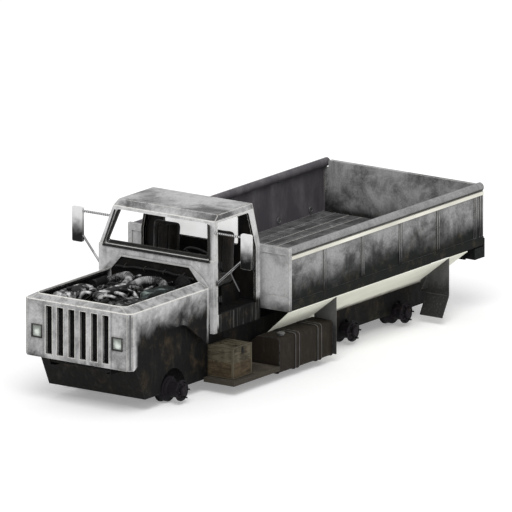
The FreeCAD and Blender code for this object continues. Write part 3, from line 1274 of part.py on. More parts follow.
def slope_line():
    """Sloping front of the underpan, from top to bottom, and its flat run to the axle."""
    return [(NOSE_Y + 200, NOSE_BOTTOM_Z + 40), (NOSE_Y + 430, SKIRT_BOTTOM_Z),
            (FRONT_AXLE_Y - 290, SKIRT_BOTTOM_Z)]


def front_underpan():
    """Bent guard plate below the nose, full width between the skirts."""
    sheet = bent_sheet(slope_line(), SKIRT_SHEET, "yz", -SKIRT_X, SKIRT_X)
    rail_room = box(RAIL_OUTER_X - RAIL_WIDTH - 3, RAIL_OUTER_X + 3, NOSE_Y, FRONT_AXLE_Y,
                    FRAME_BOTTOM_Z - 3, FRAME_TOP_Z)
    return sheet.cut([rail_room, mirrored(rail_room)])


def skirt():
    """Inner side wall from the grille to behind the last axle, notched round the hub ends."""
    top_nose = NOSE_TOP_Z
    z0 = SKIRT_BOTTOM_Z
    slope_top, slope_foot, flat_end = slope_line()
    lift = SKIRT_SHEET
    outline = [
        (NOSE_Y + NOSE_CORNER + 2, top_nose),
        (NOSE_Y + NOSE_CORNER + 2, slope_top[1] + lift),
        (slope_top[0] + lift * 1.2, slope_top[1] + lift),
        (slope_foot[0] + lift * 0.8, z0 + lift),
        (flat_end[0], z0 + lift),
        (flat_end[0], z0),
        (REAR_AXLE_Y + SKIRT_TAIL, z0),
        (REAR_AXLE_Y + SKIRT_TAIL, SPLASH_BOTTOM_Z),
        (BED_FRONT_Y - 20, SPLASH_BOTTOM_Z),
        (BED_FRONT_Y - 20, CAB_BOTTOM_Z - 5),
        (COWL_Y, CAB_BOTTOM_Z - 5),
        (COWL_Y, top_nose),
    ]
    sheet = prism(outline, "yz", SKIRT_X - SKIRT_SHEET, SKIRT_X)
    cuts = [disc_x(SKIRT_X - 50, SKIRT_X + 50, FRONT_AXLE_Y, AXLE_Z, 270)]
    for y in (MIDDLE_AXLE_Y, REAR_AXLE_Y):
        cuts.append(disc_x(SKIRT_X - 50, SKIRT_X + 50, y, AXLE_Z, 135))
    return sheet.cut(cuts)


def splash_panel():
    """Sloping panel between the bed's lower rail and the skirt."""
    half = BED_WIDTH / 2
    outer_front = Vector(half, BED_FRONT_Y - 20, SPLASH_TOP_Z)
    inner_front = Vector(SKIRT_X, BED_FRONT_Y + 180, SPLASH_BOTTOM_Z)
    rear_y = REAR_AXLE_Y + SPLASH_TAIL
    corners = [outer_front, Vector(half, rear_y, SPLASH_TOP_Z),
               Vector(SKIRT_X, rear_y, SPLASH_BOTTOM_Z), inner_front]
    face = Part.Face(Part.makePolygon(corners + [corners[0]]))
    across = Vector(half - SKIRT_X, 0, SPLASH_DROP).normalize()
    return face.extrude(Vector(-across.z, 0, across.x) * SPLASH_SHEET)


def splash_z(x):
    """Height of the splash panel's lower face at a distance from the centre line."""
    return SPLASH_TOP_Z - SPLASH_DROP * (BED_WIDTH / 2 - x) / (BED_WIDTH / 2 - SKIRT_X)


def rear_flap():
    """Rear mud flap: straight above, bent forwards below, with a corner gusset."""
    y = REAR_AXLE_Y + FLAP_SETBACK
    half = BED_WIDTH / 2
    bend_z = AXLE_Z + 185
    x_in = SKIRT_X + 70
    upper = prism([(x_in, bend_z), (half, bend_z), (half, splash_z(half)), (x_in, splash_z(x_in))],
                  "xz", y, y + FLAP_SHEET)
    lower = bent_sheet([(y, bend_z), (y - 150, bend_z - 260)], FLAP_SHEET, "yz", x_in + 90, half)
    joint = bent_sheet([(y - 1, bend_z - 2), (y + FLAP_SHEET, bend_z + 14)], 4, "yz", x_in + 90, half)
    gusset = prism([(y, bend_z + 60), (y - 130, bend_z + 70), (y, bend_z + 210)], "yz",
                   x_in + 100, x_in + 108)
    return union(upper, lower, joint, gusset)


def front_flap():
    """Mud flap behind the fuel tank."""
    y = tank_front_y() + TANK_LENGTH + 5
    half = BED_WIDTH / 2
    x_in = SKIRT_X + 170
    return prism([(x_in, TANK_OVER_FLOOR + 20), (half, TANK_OVER_FLOOR + 20), (half, splash_z(half)),
                  (x_in, splash_z(x_in))], "xz", y, y + FLAP_SHEET)


def tank_front_y():
    return CAB_REAR_Y - 24


def fuel_tank():
    """Square fuel tank with two straps, its filler and its bracket."""
    y0 = tank_front_y()
    x0 = SKIRT_X
    x1 = SKIRT_X + TANK_DEPTH
    z0 = TANK_OVER_FLOOR
    z1 = z0 + TANK_HEIGHT
    shell = prism([(x0, z0), (x1, z0, TANK_CORNER), (x1, z1, TANK_CORNER), (x0, z1)], "xz",
                  y0, y0 + TANK_LENGTH)
    straps = []
    for y in (y0 + 350, y0 + 840):
        straps.append(prism([(x0, z0 - 8), (x1 + 8, z0 - 8, TANK_CORNER), (x1 + 8, z1 + 8, TANK_CORNER),
                             (x0, z1 + 8)], "xz", y, y + 85))
    top = z1 + BED_RAIL_HEIGHT + SPLASH_DROP
    half = BED_WIDTH / 2
    clear = 14
    above = prism([(x0 - 1, splash_z(x0) - clear), (half, splash_z(half) - clear), (half, top),
                   (x0 - 1, top)], "xz", y0 - 1, y0 + TANK_LENGTH + 1)
    return union(shell, *straps).cut(above)


def step():
    """Cab step plate on the skirt."""
    return box(SKIRT_X, SKIRT_X + STEP_DEPTH, COWL_Y + 16, tank_front_y() - 3, STEP_OVER_FLOOR,
               STEP_OVER_FLOOR + STEP_THICKNESS)


def stowage_box():
    """Boarded box on the cab step with a slatted top."""
    y0 = CAB_FRONT_Y + 75
    z0 = STEP_OVER_FLOOR + STEP_THICKNESS
    body = box(SKIRT_X, SKIRT_X + BOX_DEPTH, y0, y0 + BOX_LENGTH, z0, z0 + BOX_HEIGHT)
    slots = []
    for i in range(2):
        y = y0 + 130 + i * 110
        slots.append(box(SKIRT_X + 60, SKIRT_X + BOX_DEPTH - 40, y, y + 45, z0 + BOX_HEIGHT - 60,
                         z0 + BOX_HEIGHT + 1))
    joints = [box(SKIRT_X - 1, SKIRT_X + BOX_DEPTH + 1, y0 - 1, y0 + 5, z0 + BOX_HEIGHT / 2 - 4,
                  z0 + BOX_HEIGHT / 2 + 4)]
    return body.cut(slots + joints)


def rear_beam():
    """Rear beam with its two lamp boxes and the towing hook."""
    half = BED_WIDTH / 2
    z0 = FRAME_TOP_Z - 2
    z1 = BED_BOTTOM_Z - SPLASH_SHEET - 1
    top = BED_FLOOR_Z - 32
    lamp_box = prism([(REAR_Y - 220, z0), (REAR_Y, z0), (REAR_Y, top),
                      (REAR_Y - LAMP_BOX_OVERHANG + 2, top),
                      (REAR_Y - LAMP_BOX_OVERHANG + 2, z1), (REAR_Y - 220, z1)],
                     "yz", half - 250, half)
    y0 = FRAME_REAR_Y
    beam = box(-half + 250, half - 250, y0, REAR_Y - 60, z0 - 60, z1 - 20)
    shank = rod(Vector(0, REAR_Y - 60, z0), Vector(0, REAR_Y - 20, z0), 40)
    return union(lamp_box, mirrored(lamp_box), beam, shank)


def build():
    """All nodes by name."""
    shell = cab_shell()
    side = cab_side(shell)
    wall = bed_side()
    nodes = {
        "chassis_frame": chassis_frame(),
        "crossmembers": crossmembers(),
        "front_underpan": front_underpan(),
        "inner_skirts": both_sides(skirt()),
        "axles": axles(),
        "leaf_springs": Part.makeCompound([front_spring(), mirrored(front_spring()),
                                           rear_spring(), mirrored(rear_spring())]),
        "dampers": both_sides(damper(FRONT_AXLE_Y, 1)),
        "driveline": Part.makeCompound([driveline(), tandem_shaft()]),
        "exhaust": exhaust(),
        "radiator": radiator(),
        "engine_block": engine_block(),
        "engine_top": engine_top(),
        "engine_fittings": engine_fittings(),
        "grille_panel": grille_panel(),
        "headlamps": both_sides(headlamp()),
        "bonnet_rim": bonnet_rim(),
        "fender_left": fender(),
        "fender_right": mirrored(fender()),
        "cowl": cowl(),
        "firewall": firewall(),
        "windscreen_frame": windscreen_frame(shell),
        "cab_side_left": side,
        "cab_side_right": mirrored(side),
        "cab_rear_wall": cab_rear_wall(shell),
        "rear_glass": rear_glass(),
        "cab_roof": cab_roof(shell),
        "cab_floor": cab_floor(),
        "seats": seats(),
        "dashboard": dashboard(),
        "steering_wheel": steering_wheel(),
        "mirrors": both_sides(mirror()),
        "bed_floor": bed_floor(),
        "bed_sills": bed_sills(),
        "bed_headboard": bed_headboard(),
        "bed_side_left": wall,
        "bed_side_right": mirrored(wall),
        "tailgate": tailgate(),
        "splash_panels": both_sides(splash_panel()),
        "mud_flaps": Part.makeCompound([rear_flap(), mirrored(rear_flap()),
                                        front_flap(), mirrored(front_flap())]),
        "fuel_tanks": both_sides(fuel_tank()),
        "steps": both_sides(step()),
        "stowage_boxes": both_sides(stowage_box()),
        "rear_beam": rear_beam(),
        "knuckle_left": knuckle(1),
        "knuckle_right": knuckle(-1),
        "tie_rod": tie_rod(),
    }
    axle_places = {"front": FRONT_AXLE_Y, "middle": MIDDLE_AXLE_Y, "rear": REAR_AXLE_Y}
    for place, y in axle_places.items():
        nodes["hub_" + place + "_left"] = hub(1, y)
        nodes["hub_" + place + "_right"] = hub(-1, y)
    return nodes


os.makedirs("parts", exist_ok=True)
for name, shape in build().items():
    shape.exportStep("parts/" + name + ".step")
    print(name, len(shape.Solids), shape.isValid(), round(shape.Volume / 1e9, 4), shape.BoundBox)
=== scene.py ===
import logging
import math
from dataclasses import dataclass
from enum import Enum
from typing import Optional, Sequence

import bmesh
import bpy
import numpy as np
from mathutils import Matrix, Vector


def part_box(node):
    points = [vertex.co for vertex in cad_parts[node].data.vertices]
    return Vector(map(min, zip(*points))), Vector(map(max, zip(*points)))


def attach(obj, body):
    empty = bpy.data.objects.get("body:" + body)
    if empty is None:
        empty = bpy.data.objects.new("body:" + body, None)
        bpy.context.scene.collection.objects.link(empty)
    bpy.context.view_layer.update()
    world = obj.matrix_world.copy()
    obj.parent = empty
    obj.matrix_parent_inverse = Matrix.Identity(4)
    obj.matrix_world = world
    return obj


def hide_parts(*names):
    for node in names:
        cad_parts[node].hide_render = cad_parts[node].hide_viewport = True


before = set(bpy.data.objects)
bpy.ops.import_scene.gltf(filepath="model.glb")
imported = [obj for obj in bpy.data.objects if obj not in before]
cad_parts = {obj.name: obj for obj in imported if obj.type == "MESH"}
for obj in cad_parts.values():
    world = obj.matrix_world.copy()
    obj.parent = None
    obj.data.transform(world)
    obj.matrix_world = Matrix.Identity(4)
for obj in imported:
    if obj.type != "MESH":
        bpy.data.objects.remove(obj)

log = logging.getLogger("truck")
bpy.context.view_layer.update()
RIB_COUNT = 6
WELD_REACH = 1e-5
SHARP_ANGLE = math.radians(40)
AXLE_HEIGHT = 0.18
FLOOR_TOP = 1.0
RIGHT_SIDE_FLIP = np.array([-1.0, 1.0, 1.0])

Colour = tuple[float, float, float]
Points = np.ndarray
Socket = bpy.types.NodeSocket


class Side(Enum):
    """Sides of the truck: left is towards +X."""

    LEFT = "left"
    RIGHT = "right"


class Place(Enum):
    """Axles from the front."""

    FRONT = "front"
    MIDDLE = "middle"
    REAR = "rear"


# Colours

def tone(red: float, green: float, blue: float) -> Colour:
    """Scene-linear colour from display values.

    Args:
        red: Display red from 0 to 255, and so for green and blue.

    Returns:
        The three linear values.
    """
    shown = np.array([red, green, blue]) / 255.0
    linear = np.where(shown <= 0.04045, shown / 12.92, ((shown + 0.055) / 1.055) ** 2.4)
    return tuple(float(value) for value in linear)


def grey(value: float, warm: float = 0.0) -> Colour:
    """Grey of a display value; a positive warm leans it to yellow."""
    return tone(value + warm, value + warm * 0.4, value - warm)


# Shader graphs

class NodeGraph:
    """Adds and links the shader nodes of one material."""

    def __init__(self, material: bpy.types.Material) -> None:
        """Starts an empty graph.

        Args:
            material: The material whose nodes are made.
        """
        material.use_nodes = True
        self.tree = material.node_tree
        self.tree.nodes.clear()
        self.coordinates = self.node("ShaderNodeTexCoord")

    def node(self, kind: str, **settings: object) -> bpy.types.Node:
        """Adds a node.

        Args:
            kind: The node's type name.
            settings: Properties of the node.

        Returns:
            The new node.
        """
        made = self.tree.nodes.new(kind)
        for key, value in settings.items():
            setattr(made, key, value)
        return made

    def feed(self, node: bpy.types.Node, index: int | str, value: object) -> None:
        """Sets an input: links a socket, or writes a plain value.

        Args:
            node: The node that is fed.
            index: The input's place or name.
            value: A socket, number or colour.
        """
        if isinstance(value, bpy.types.NodeSocket):
            self.tree.links.new(value, node.inputs[index])
        elif isinstance(value, tuple) and len(value) == 3 and node.inputs[index].type == "RGBA":
            node.inputs[index].default_value = (*value, 1.0)
        else:
            node.inputs[index].default_value = value

    def math(self, kind: str, first: object, second: object = 0.0) -> Socket:
        """One step of arithmetic.

        Args:
            kind: The operation's name.
            first: Socket or number, and so for second.

        Returns:
            The result's socket.
        """
        made = self.node("ShaderNodeMath", operation=kind)
        self.feed(made, 0, first)
        self.feed(made, 1, second)
        return made.outputs[0]

    def times(self, first: object, second: object) -> Socket:
        """Product of two sockets or numbers."""
        return self.math("MULTIPLY", first, second)

    def plus(self, first: object, second: object) -> Socket:
        """Sum of two sockets or numbers."""
        return self.math("ADD", first, second)

    def minus(self, first: object, second: object) -> Socket:
        """Difference of two sockets or numbers."""
        return self.math("SUBTRACT", first, second)

    def wobble(self, value: object, cloud: Socket, reach: float) -> Socket:
        """A value moved up and down by a cloud of 0 to 1, by half the reach each way."""
        return self.plus(value, self.times(self.minus(cloud, 0.5), reach))

    def axis(self, letter: str) -> Socket:
        """The object coordinate along x, y or z."""
        made = self.node("ShaderNodeSeparateXYZ")
        self.feed(made, 0, self.coordinates.outputs["Object"])
        return made.outputs["xyz".index(letter)]

    def outward(self, centre: tuple[float, float, float]) -> Socket:
        """Positive where the surface faces away from a centre, negative on the inside of a shell."""
        offset = self.node("ShaderNodeVectorMath", operation="SUBTRACT")
        self.feed(offset, 0, self.coordinates.outputs["Object"])
        offset.inputs[1].default_value = centre
        made = self.node("ShaderNodeVectorMath", operation="DOT_PRODUCT")
        self.feed(made, 0, self.coordinates.outputs["Normal"])
        self.feed(made, 1, offset.outputs[0])
        return made.outputs["Value"]

    def place(self, stretch: tuple[float, float, float], shift: float = 0.0) -> Socket:
        """Object coordinates, stretched along each axis and moved by one shift."""
        made = self.node("ShaderNodeMapping")
        self.feed(made, 0, self.coordinates.outputs["Object"])
        made.inputs["Scale"].default_value = stretch
        made.inputs["Location"].default_value = (shift, shift * 0.7, shift * 1.3)
        return made.outputs[0]

    def noise(self, scale: float, detail: float = 6.0, rough: float = 0.6,
              stretch: tuple[float, float, float] = (1.0, 1.0, 1.0), shift: float = 0.0,
              warp: float = 0.0) -> Socket:
        """Cloudy noise from 0 to 1.

        Args:
            scale: Features per metre.
            detail: Number of finer layers.
            rough: Strength of the finer layers.
            stretch: Factor on the coordinates; a small one draws the pattern out along that axis.
            shift: Moves the pattern.
            warp: Distortion.

        Returns:
            The noise socket.
        """
        made = self.node("ShaderNodeTexNoise")
        self.feed(made, "Vector", self.place(stretch, shift))
        made.inputs["Scale"].default_value = scale
        made.inputs["Detail"].default_value = detail
        made.inputs["Roughness"].default_value = rough
        made.inputs["Distortion"].default_value = warp
        return made.outputs[0]

    def cells(self, scale: float, stretch: tuple[float, float, float] = (1.0, 1.0, 1.0),
              shift: float = 0.0) -> Socket:
        """Distance to the nearest cell centre, for chips and specks."""
        made = self.node("ShaderNodeTexVoronoi")
        self.feed(made, "Vector", self.place(stretch, shift))
        made.inputs["Scale"].default_value = scale
        return made.outputs["Distance"]

    def fade(self, value: Socket, low: float, high: float) -> Socket:
        """Smooth step: 0 at low and 1 at high. Low may be above high."""
        made = self.node("ShaderNodeMapRange", interpolation_type="SMOOTHSTEP")
        self.feed(made, 0, value)
        made.inputs["From Min"].default_value = low
        made.inputs["From Max"].default_value = high
        return made.outputs[0]

    def stretch_to(self, value: Socket, low: float, high: float) -> Socket:
        """Carries 0 to 1 over to low to high."""
        made = self.node("ShaderNodeMapRange")
        self.feed(made, 0, value)
        made.inputs["To Min"].default_value = low
        made.inputs["To Max"].default_value = high
        return made.outputs[0]

    def blend(self, share: object, first: object, second: object, kind: str = "MIX") -> Socket:
        """Mixes two colours.

        Args:
            share: Socket or number; 1 shows the second colour.
            first: Socket or colour, and so for second.
            kind: The blend's name.

        Returns:
            The mixed colour's socket.
        """
        made = self.node("ShaderNodeMix", data_type="RGBA", blend_type=kind)
        self.feed(made, 0, share)
        self.feed(made, 6, first)
        self.feed(made, 7, second)
        return made.outputs[2]

    def edge(self, radius: float) -> Socket:
        """1 along sharp edges within a radius and 0 on flat ground."""
        made = self.node("ShaderNodeBevel", samples=4)
        made.inputs["Radius"].default_value = radius
        product = self.node("ShaderNodeVectorMath", operation="DOT_PRODUCT")
        self.feed(product, 0, made.outputs[0])
        geometry = self.node("ShaderNodeNewGeometry")
        self.feed(product, 1, geometry.outputs["Normal"])
        return self.fade(product.outputs["Value"], 0.995, 0.93)

    def corner_shade(self, distance: float) -> Socket:
        """Painted shade mask from ambient occlusion: 1 deep in a corner and 0 in the open."""
        made = self.node("ShaderNodeAmbientOcclusion", samples=4)
        made.inputs["Distance"].default_value = distance
        return self.fade(made.outputs["AO"], 0.85, 0.25)

    def bump(self, height: Socket, depth: float) -> Socket:
        """Normal from a height pattern, depth in metres."""
        made = self.node("ShaderNodeBump")
        self.feed(made, "Height", height)
        made.inputs["Distance"].default_value = depth
        return made.outputs[0]

    def surface(self, colour: object, rough: object, normal: Optional[Socket], metallic: float = 0.0,
                sheen: float = 0.0, specular: float = 0.15, glow: float = 0.0) -> None:
        """Ends the graph in the surface shader.

        Args:
            colour: Socket or colour.
            rough: Socket or number.
            normal: Normal socket, or None for the plain surface.
            metallic: 0 for paint and 1 for bare metal.
            sheen: Cloth sheen.
            specular: Strength of the plain reflection; dusty surfaces have little.
            glow: Emission in the surface's colour: painted light that makes a surface glow though it is no
                lamp.
        """
        shader = self.node("ShaderNodeBsdfPrincipled")
        self.feed(shader, "Base Color", colour)
        self.feed(shader, "Roughness", rough)
        shader.inputs["Metallic"].default_value = metallic
        shader.inputs["Sheen Weight"].default_value = sheen
        shader.inputs["Specular IOR Level"].default_value = specular
        shader.inputs["Emission Strength"].default_value = glow
        if glow:
            self.feed(shader, "Emission Color", colour)
        if normal is not None:
            self.feed(shader, "Normal", normal)
        output = self.node("ShaderNodeOutputMaterial")
        self.feed(output, 0, shader.outputs[0])


# Finishes

@dataclass(frozen=True)
class Finish:
    """A named surface finish; each kind builds its own shader."""

    name: str
    slot: str

    def paint(self, graph: NodeGraph) -> None:
        """Builds the shader nodes."""
        raise NotImplementedError

    def material(self) -> bpy.types.Material:
        """The finish's material, made on first use."""
        label = self.name + "_finish"
        found = bpy.data.materials.get(label)
        if found is None:
            found = bpy.data.materials.new(label)
            self.paint(NodeGraph(found))
        return found

    def dress(self, *nodes: str) -> None:
        """Puts the finish on CAD nodes by name."""
        for node in nodes:
            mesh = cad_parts[node].data
            mesh.materials.clear()
            mesh.materials.append(self.material())
            log.info("dressed %s in %s", node, self.name)


@dataclass(frozen=True)
class WornPaint(Finish):
    """Pale paint with cloudy patches, runs, grime that climbs from below, painted shade in its corners,
    bright edges of worn paint and painted highlight, and rust.
    """

    light: Colour = grey(205)
    dull: Colour = grey(130)
    grime: Colour = grey(26)
    # Edge colour: worn paint and painted highlight along sharp edges.
    edge_colour: Colour = grey(225, 3)
    inside: Colour = grey(40)
    inside_patch: Colour = grey(84, 2)
    patch_scale: float = 2.6
    light_share: float = 0.5
    grime_top: float = 0.0
    grime_blur: float = 0.3
    grime_soft: float = 0.12
    run_strength: float = 0.45
    # Width and strength of the bright edges of worn paint and painted highlight.
    edge_width: float = 0.012
    edge_strength: float = 0.8
    streaks: float = 0.0
    pale_from: Optional[float] = None
    pale: Colour = grey(190)
    shaded_band: Optional[tuple[float, float]] = None
    lit_band: Optional[tuple[float, float]] = None
    solid_below: Optional[float] = None
    grime_slope: float = 0.0
    shell_centre: Optional[tuple[float, float, float]] = None
    shift: float = 0.0

    def base(self, graph: NodeGraph) -> Socket:
        """Cloudy patches of light and dull paint with fine mottling."""
        cloud = graph.noise(self.patch_scale, 9.0, 0.66, shift=self.shift, warp=0.35)
        middle = 0.62 - 0.3 * self.light_share
        base = graph.blend(graph.fade(cloud, middle - 0.14, middle + 0.14), self.dull, self.light)
        if self.pale_from is not None:
            above = graph.fade(graph.axis("z"), self.pale_from - 0.002, self.pale_from + 0.002)
            base = graph.blend(above, base, graph.blend(graph.fade(cloud, 0.35, 0.6), self.dull, self.pale))
        if self.lit_band is not None:
            lit = graph.times(graph.fade(graph.axis("z"), *self.lit_band), 0.55)
            base = graph.blend(lit, base, self.light)
        if self.shaded_band is not None:
            low, high = self.shaded_band
            shade = graph.times(graph.fade(graph.axis("z"), low - 0.002, low),
                               graph.fade(graph.axis("z"), high, (low + high) / 2))
            base = graph.blend(graph.times(shade, 0.8), base, grey(30))
        fine = graph.noise(38.0, 5.0, 0.7, shift=self.shift + 4.0)
        return graph.blend(0.35, base, graph.blend(graph.fade(fine, 0.3, 0.7), grey(70), grey(235)),
                           "SOFT_LIGHT")

    def runs(self, graph: NodeGraph) -> Socket:
        """Upright dirty runs, as a mask."""
        fine = graph.noise(9.0, 7.0, 0.65, stretch=(1.0, 1.0, 0.09), shift=self.shift + 9.0)
        broad = graph.noise(3.0, 5.0, 0.6, stretch=(1.0, 1.0, 0.25), shift=self.shift + 2.0)
        both = graph.times(graph.fade(fine, 0.42, 0.74), graph.fade(broad, 0.36, 0.66))
        return graph.times(both, self.run_strength)

    def grime_mask(self, graph: NodeGraph) -> Socket:
        """Grime that is full below grime_top and breaks up above it."""
        height = graph.axis("z")
        if self.grime_slope:
            height = graph.minus(height, graph.times(graph.axis("y"), self.grime_slope))
        cloud = graph.noise(2.6, 7.0, 0.62, shift=self.shift + 6.0, warp=0.5)
        edge = graph.wobble(height, cloud, self.grime_blur * 2.0)
        mask = graph.fade(edge, self.grime_top + self.grime_soft, self.grime_top - self.grime_soft)
        if self.solid_below is not None:
            solid = graph.fade(graph.axis("z"), self.solid_below + 0.004, self.solid_below - 0.004)
            mask = graph.math("MAXIMUM", mask, solid)
        return mask

    def paint(self, graph: NodeGraph) -> None:
        """Builds the shader nodes."""
        colour = self.base(graph)
        runs = self.runs(graph)
        colour = graph.blend(runs, colour, self.grime)
        # Painted shade: corners found by ambient occlusion are darkened towards the grime colour.
        corner = graph.corner_shade(0.12)
        colour = graph.blend(graph.times(corner, 0.75), colour, self.grime)
        grime = self.grime_mask(graph)
        blotch = graph.fade(graph.noise(7.0, 6.0, 0.65, shift=self.shift + 1.0), 0.5, 0.85)
        mottled = graph.blend(blotch, self.grime, tone(72, 64, 52))
        if self.streaks:
            tassel = graph.noise(17.0, 5.0, 0.6, stretch=(1.0, 1.0, 0.07), shift=self.shift + 5.0)
            pale = graph.times(graph.fade(tassel, 0.5, 0.66), self.streaks)
            mottled = graph.blend(pale, mottled, grey(122, 2))
        colour = graph.blend(grime, colour, mottled)
        if self.shell_centre is not None:
            within = graph.fade(graph.outward(self.shell_centre), 0.01, -0.01)
            patch = graph.fade(graph.noise(3.4, 7.0, 0.7, stretch=(1, 1, 0.4), shift=3.0), 0.4, 0.8)
            colour = graph.blend(within, colour, graph.blend(patch, self.inside, self.inside_patch))
        chipped = graph.noise(24.0, 6.0, 0.7, shift=self.shift + 12.0)
        # Bright edges: worn paint and a painted highlight along sharp edges, broken up by chips and kept off
        # the grime.
        worn_and_highlit = graph.times(graph.edge(self.edge_width), graph.fade(chipped, 0.28, 0.5))
        worn_and_highlit = graph.times(worn_and_highlit, graph.minus(1.0, grime))
        worn_and_highlit = graph.times(worn_and_highlit, self.edge_strength)
        colour = graph.blend(worn_and_highlit, colour, self.edge_colour)
        specks = graph.times(graph.fade(graph.cells(46.0, shift=self.shift), 0.17, 0.08),
                            graph.fade(graph.noise(5.0, 3.0, shift=2.2), 0.55, 0.68))
        colour = graph.blend(graph.times(specks, 0.8), colour, tone(92, 62, 40))
        rough = graph.stretch_to(graph.noise(17.0, 5.0, 0.6, shift=7.0), 0.48, 0.78)
        rough = graph.blend(grime, rough, grey(235))
        dents = graph.noise(2.2, 2.0, 0.5, shift=self.shift)
        grain = graph.noise(90.0, 4.0, 0.7)
        height = graph.plus(graph.times(grain, 0.12), dents)
        graph.surface(colour, rough, graph.bump(height, 0.006))


@dataclass(frozen=True)
class NoseSidePaint(WornPaint):
    """Nose side: level grime line, with light paint kept at the front corner and the rear edge."""

    front_strip: tuple[float, float] = (0.0, 0.0)
    rear_strip: tuple[float, float] = (100.0, 101.0)
    strip_foot: float = 0.62
    front_foot: float = -1.0

    def grime_mask(self, graph: NodeGraph) -> Socket:
        """Grime below a level line, but not on the two upright strips."""
        mask = WornPaint.grime_mask(self, graph)
        along = graph.axis("y")
        wavy = graph.plus(along, graph.times(graph.noise(7.0, 4.0, shift=8.0), 0.03))
        front = graph.fade(wavy, self.front_strip[0], self.front_strip[1])
        foot = graph.fade(graph.axis("z"), self.front_foot + 0.12, self.front_foot)
        front = graph.math("MAXIMUM", front, foot)
        rear = graph.fade(wavy, self.rear_strip[1], self.rear_strip[0])
        rear = graph.math("MAXIMUM", rear,
                          graph.fade(graph.axis("z"), self.strip_foot + 0.35, self.strip_foot))
        return graph.times(mask, graph.times(front, rear))


@dataclass(frozen=True)
class DarkSteel(Finish):
    """Black-brown underbody steel with blotches of dry mud, oil, bare wear and painted highlight on its
    edges, and painted shade in its corners.
    """

    base: Colour = grey(13)
    mud: Colour = tone(84, 69, 50)
    low_mud: Colour = tone(66, 64, 46)
    mud_share: float = 0.35
    # Edge colour and strength: bare wear and painted highlight along sharp edges.
    edge_colour: Colour = grey(96)
    edge_strength: float = 0.3
    metallic: float = 0.0
    rough_low: float = 0.55
    upright: float = 0.8
    low_top: float = 0.35
    scale: float = 3.6

    def paint(self, graph: NodeGraph) -> None:
        """Builds the shader nodes."""
        blotch = graph.noise(self.scale, 6.0, 0.58, stretch=(1.0, 1.0, self.upright), warp=0.4)
        low = 0.66 - 0.4 * self.mud_share
        mud = graph.times(graph.fade(blotch, low, low + 0.3), 0.85)
        tint = graph.blend(graph.fade(graph.axis("z"), self.low_top, self.low_top - 0.2), self.mud,
                           self.low_mud)
        fine = graph.fade(graph.noise(40.0, 6.0, 0.7, shift=3.0), 0.3, 0.72)
        tint = graph.blend(graph.times(fine, 0.55), tint, self.base)
        colour = graph.blend(mud, self.base, tint)
        streak = graph.fade(graph.noise(13.0, 6.0, 0.6, stretch=(1.0, 1.0, 0.25), shift=5.0), 0.5, 0.85)
        colour = graph.blend(graph.times(streak, 0.16), colour, grey(96, 5))
        chipped = graph.fade(graph.noise(30.0, 6.0, 0.7, shift=2.0), 0.35, 0.6)
        # Bare wear and painted highlight along sharp edges.
        worn_and_highlit = graph.times(graph.times(graph.edge(0.008), chipped), self.edge_strength)
        colour = graph.blend(worn_and_highlit, colour, self.edge_colour)
        # Painted shade: corners found by ambient occlusion are darkened.
        colour = graph.blend(graph.times(graph.corner_shade(0.1), 0.6), colour, grey(9))
        rough = graph.stretch_to(graph.noise(21.0, 5.0, 0.6, shift=7.0), self.rough_low, 0.92)
        lumps = graph.plus(graph.noise(28.0, 6.0, 0.7), graph.times(mud, 0.5))
        graph.surface(colour, rough, graph.bump(lumps, 0.004), metallic=self.metallic)


@dataclass(frozen=True)
class CreamPanel(Finish):
    """Cream panel with long faint smears, dirt along its foot, thin scratches and a faint glow of painted
    light.
    """

    light: Colour = tone(240, 240, 228)
    dull: Colour = tone(222, 222, 208)
    foot: float = 0.46

    def paint(self, graph: NodeGraph) -> None:
        """Builds the shader nodes."""
        smear = graph.noise(2.4, 6.0, 0.55, stretch=(1.0, 0.25, 1.0))
        colour = graph.blend(graph.fade(smear, 0.35, 0.7), self.dull, self.light)
        dirt = graph.noise(8.0, 7.0, 0.7, stretch=(1.0, 0.6, 0.5), shift=3.0)
        height = graph.plus(graph.axis("z"), graph.times(dirt, 0.1))
        colour = graph.blend(graph.fade(height, self.foot + 0.14, self.foot + 0.04), colour, grey(84, 6))
        scratch = graph.fade(graph.noise(60.0, 2.0, 0.4, stretch=(1.0, 0.05, 1.0), shift=6.0), 0.7, 0.78)
        colour = graph.blend(graph.times(scratch, 0.35), colour, grey(150, 5))
        rough = graph.stretch_to(graph.noise(12.0, 4.0), 0.5, 0.75)
        # Painted light: a faint emission makes the panel glow though it is no lamp, so that its downward
        # faces stay bright.
        graph.surface(colour, rough, graph.bump(graph.noise(3.0, 3.0), 0.004), glow=0.17)


@dataclass(frozen=True)
class OldWood(Finish):
    """Weathered boards: grain along Y, paint left on the upper boards, pale edges of wear and painted
    highlight, and painted shade in the joints.
    """

    upper: Colour = tone(98, 92, 76)
    lower: Colour = tone(88, 76, 58)
    dark: Colour = tone(36, 31, 25)
    split_height: float = 0.4

    def paint(self, graph: NodeGraph) -> None:
        """Builds the shader nodes."""
        step = graph.fade(graph.axis("z"), self.split_height - 0.01, self.split_height + 0.01)
        colour = graph.blend(step, self.lower, self.upper)
        grain = graph.noise(30.0, 8.0, 0.7, stretch=(0.15, 0.15, 1.0), warp=0.8)
        colour = graph.blend(graph.times(graph.fade(grain, 0.42, 0.66), 0.7), colour, self.dark)
        stain = graph.fade(graph.noise(6.0, 6.0, 0.65, shift=4.0), 0.42, 0.66)
        colour = graph.blend(graph.times(stain, 0.6), colour, self.dark)
        # Pale edges: wear and a painted highlight.
        worn_and_highlit = graph.times(graph.edge(0.01), graph.fade(graph.noise(20.0, 5.0), 0.35, 0.55))
        colour = graph.blend(graph.times(worn_and_highlit, 0.7), colour, tone(150, 138, 108))
        # Painted shade: joints and corners found by ambient occlusion are darkened.
        colour = graph.blend(graph.corner_shade(0.05), colour, grey(14, 2))
        graph.surface(colour, graph.stretch_to(grain, 0.7, 0.95), graph.bump(grain, 0.004))


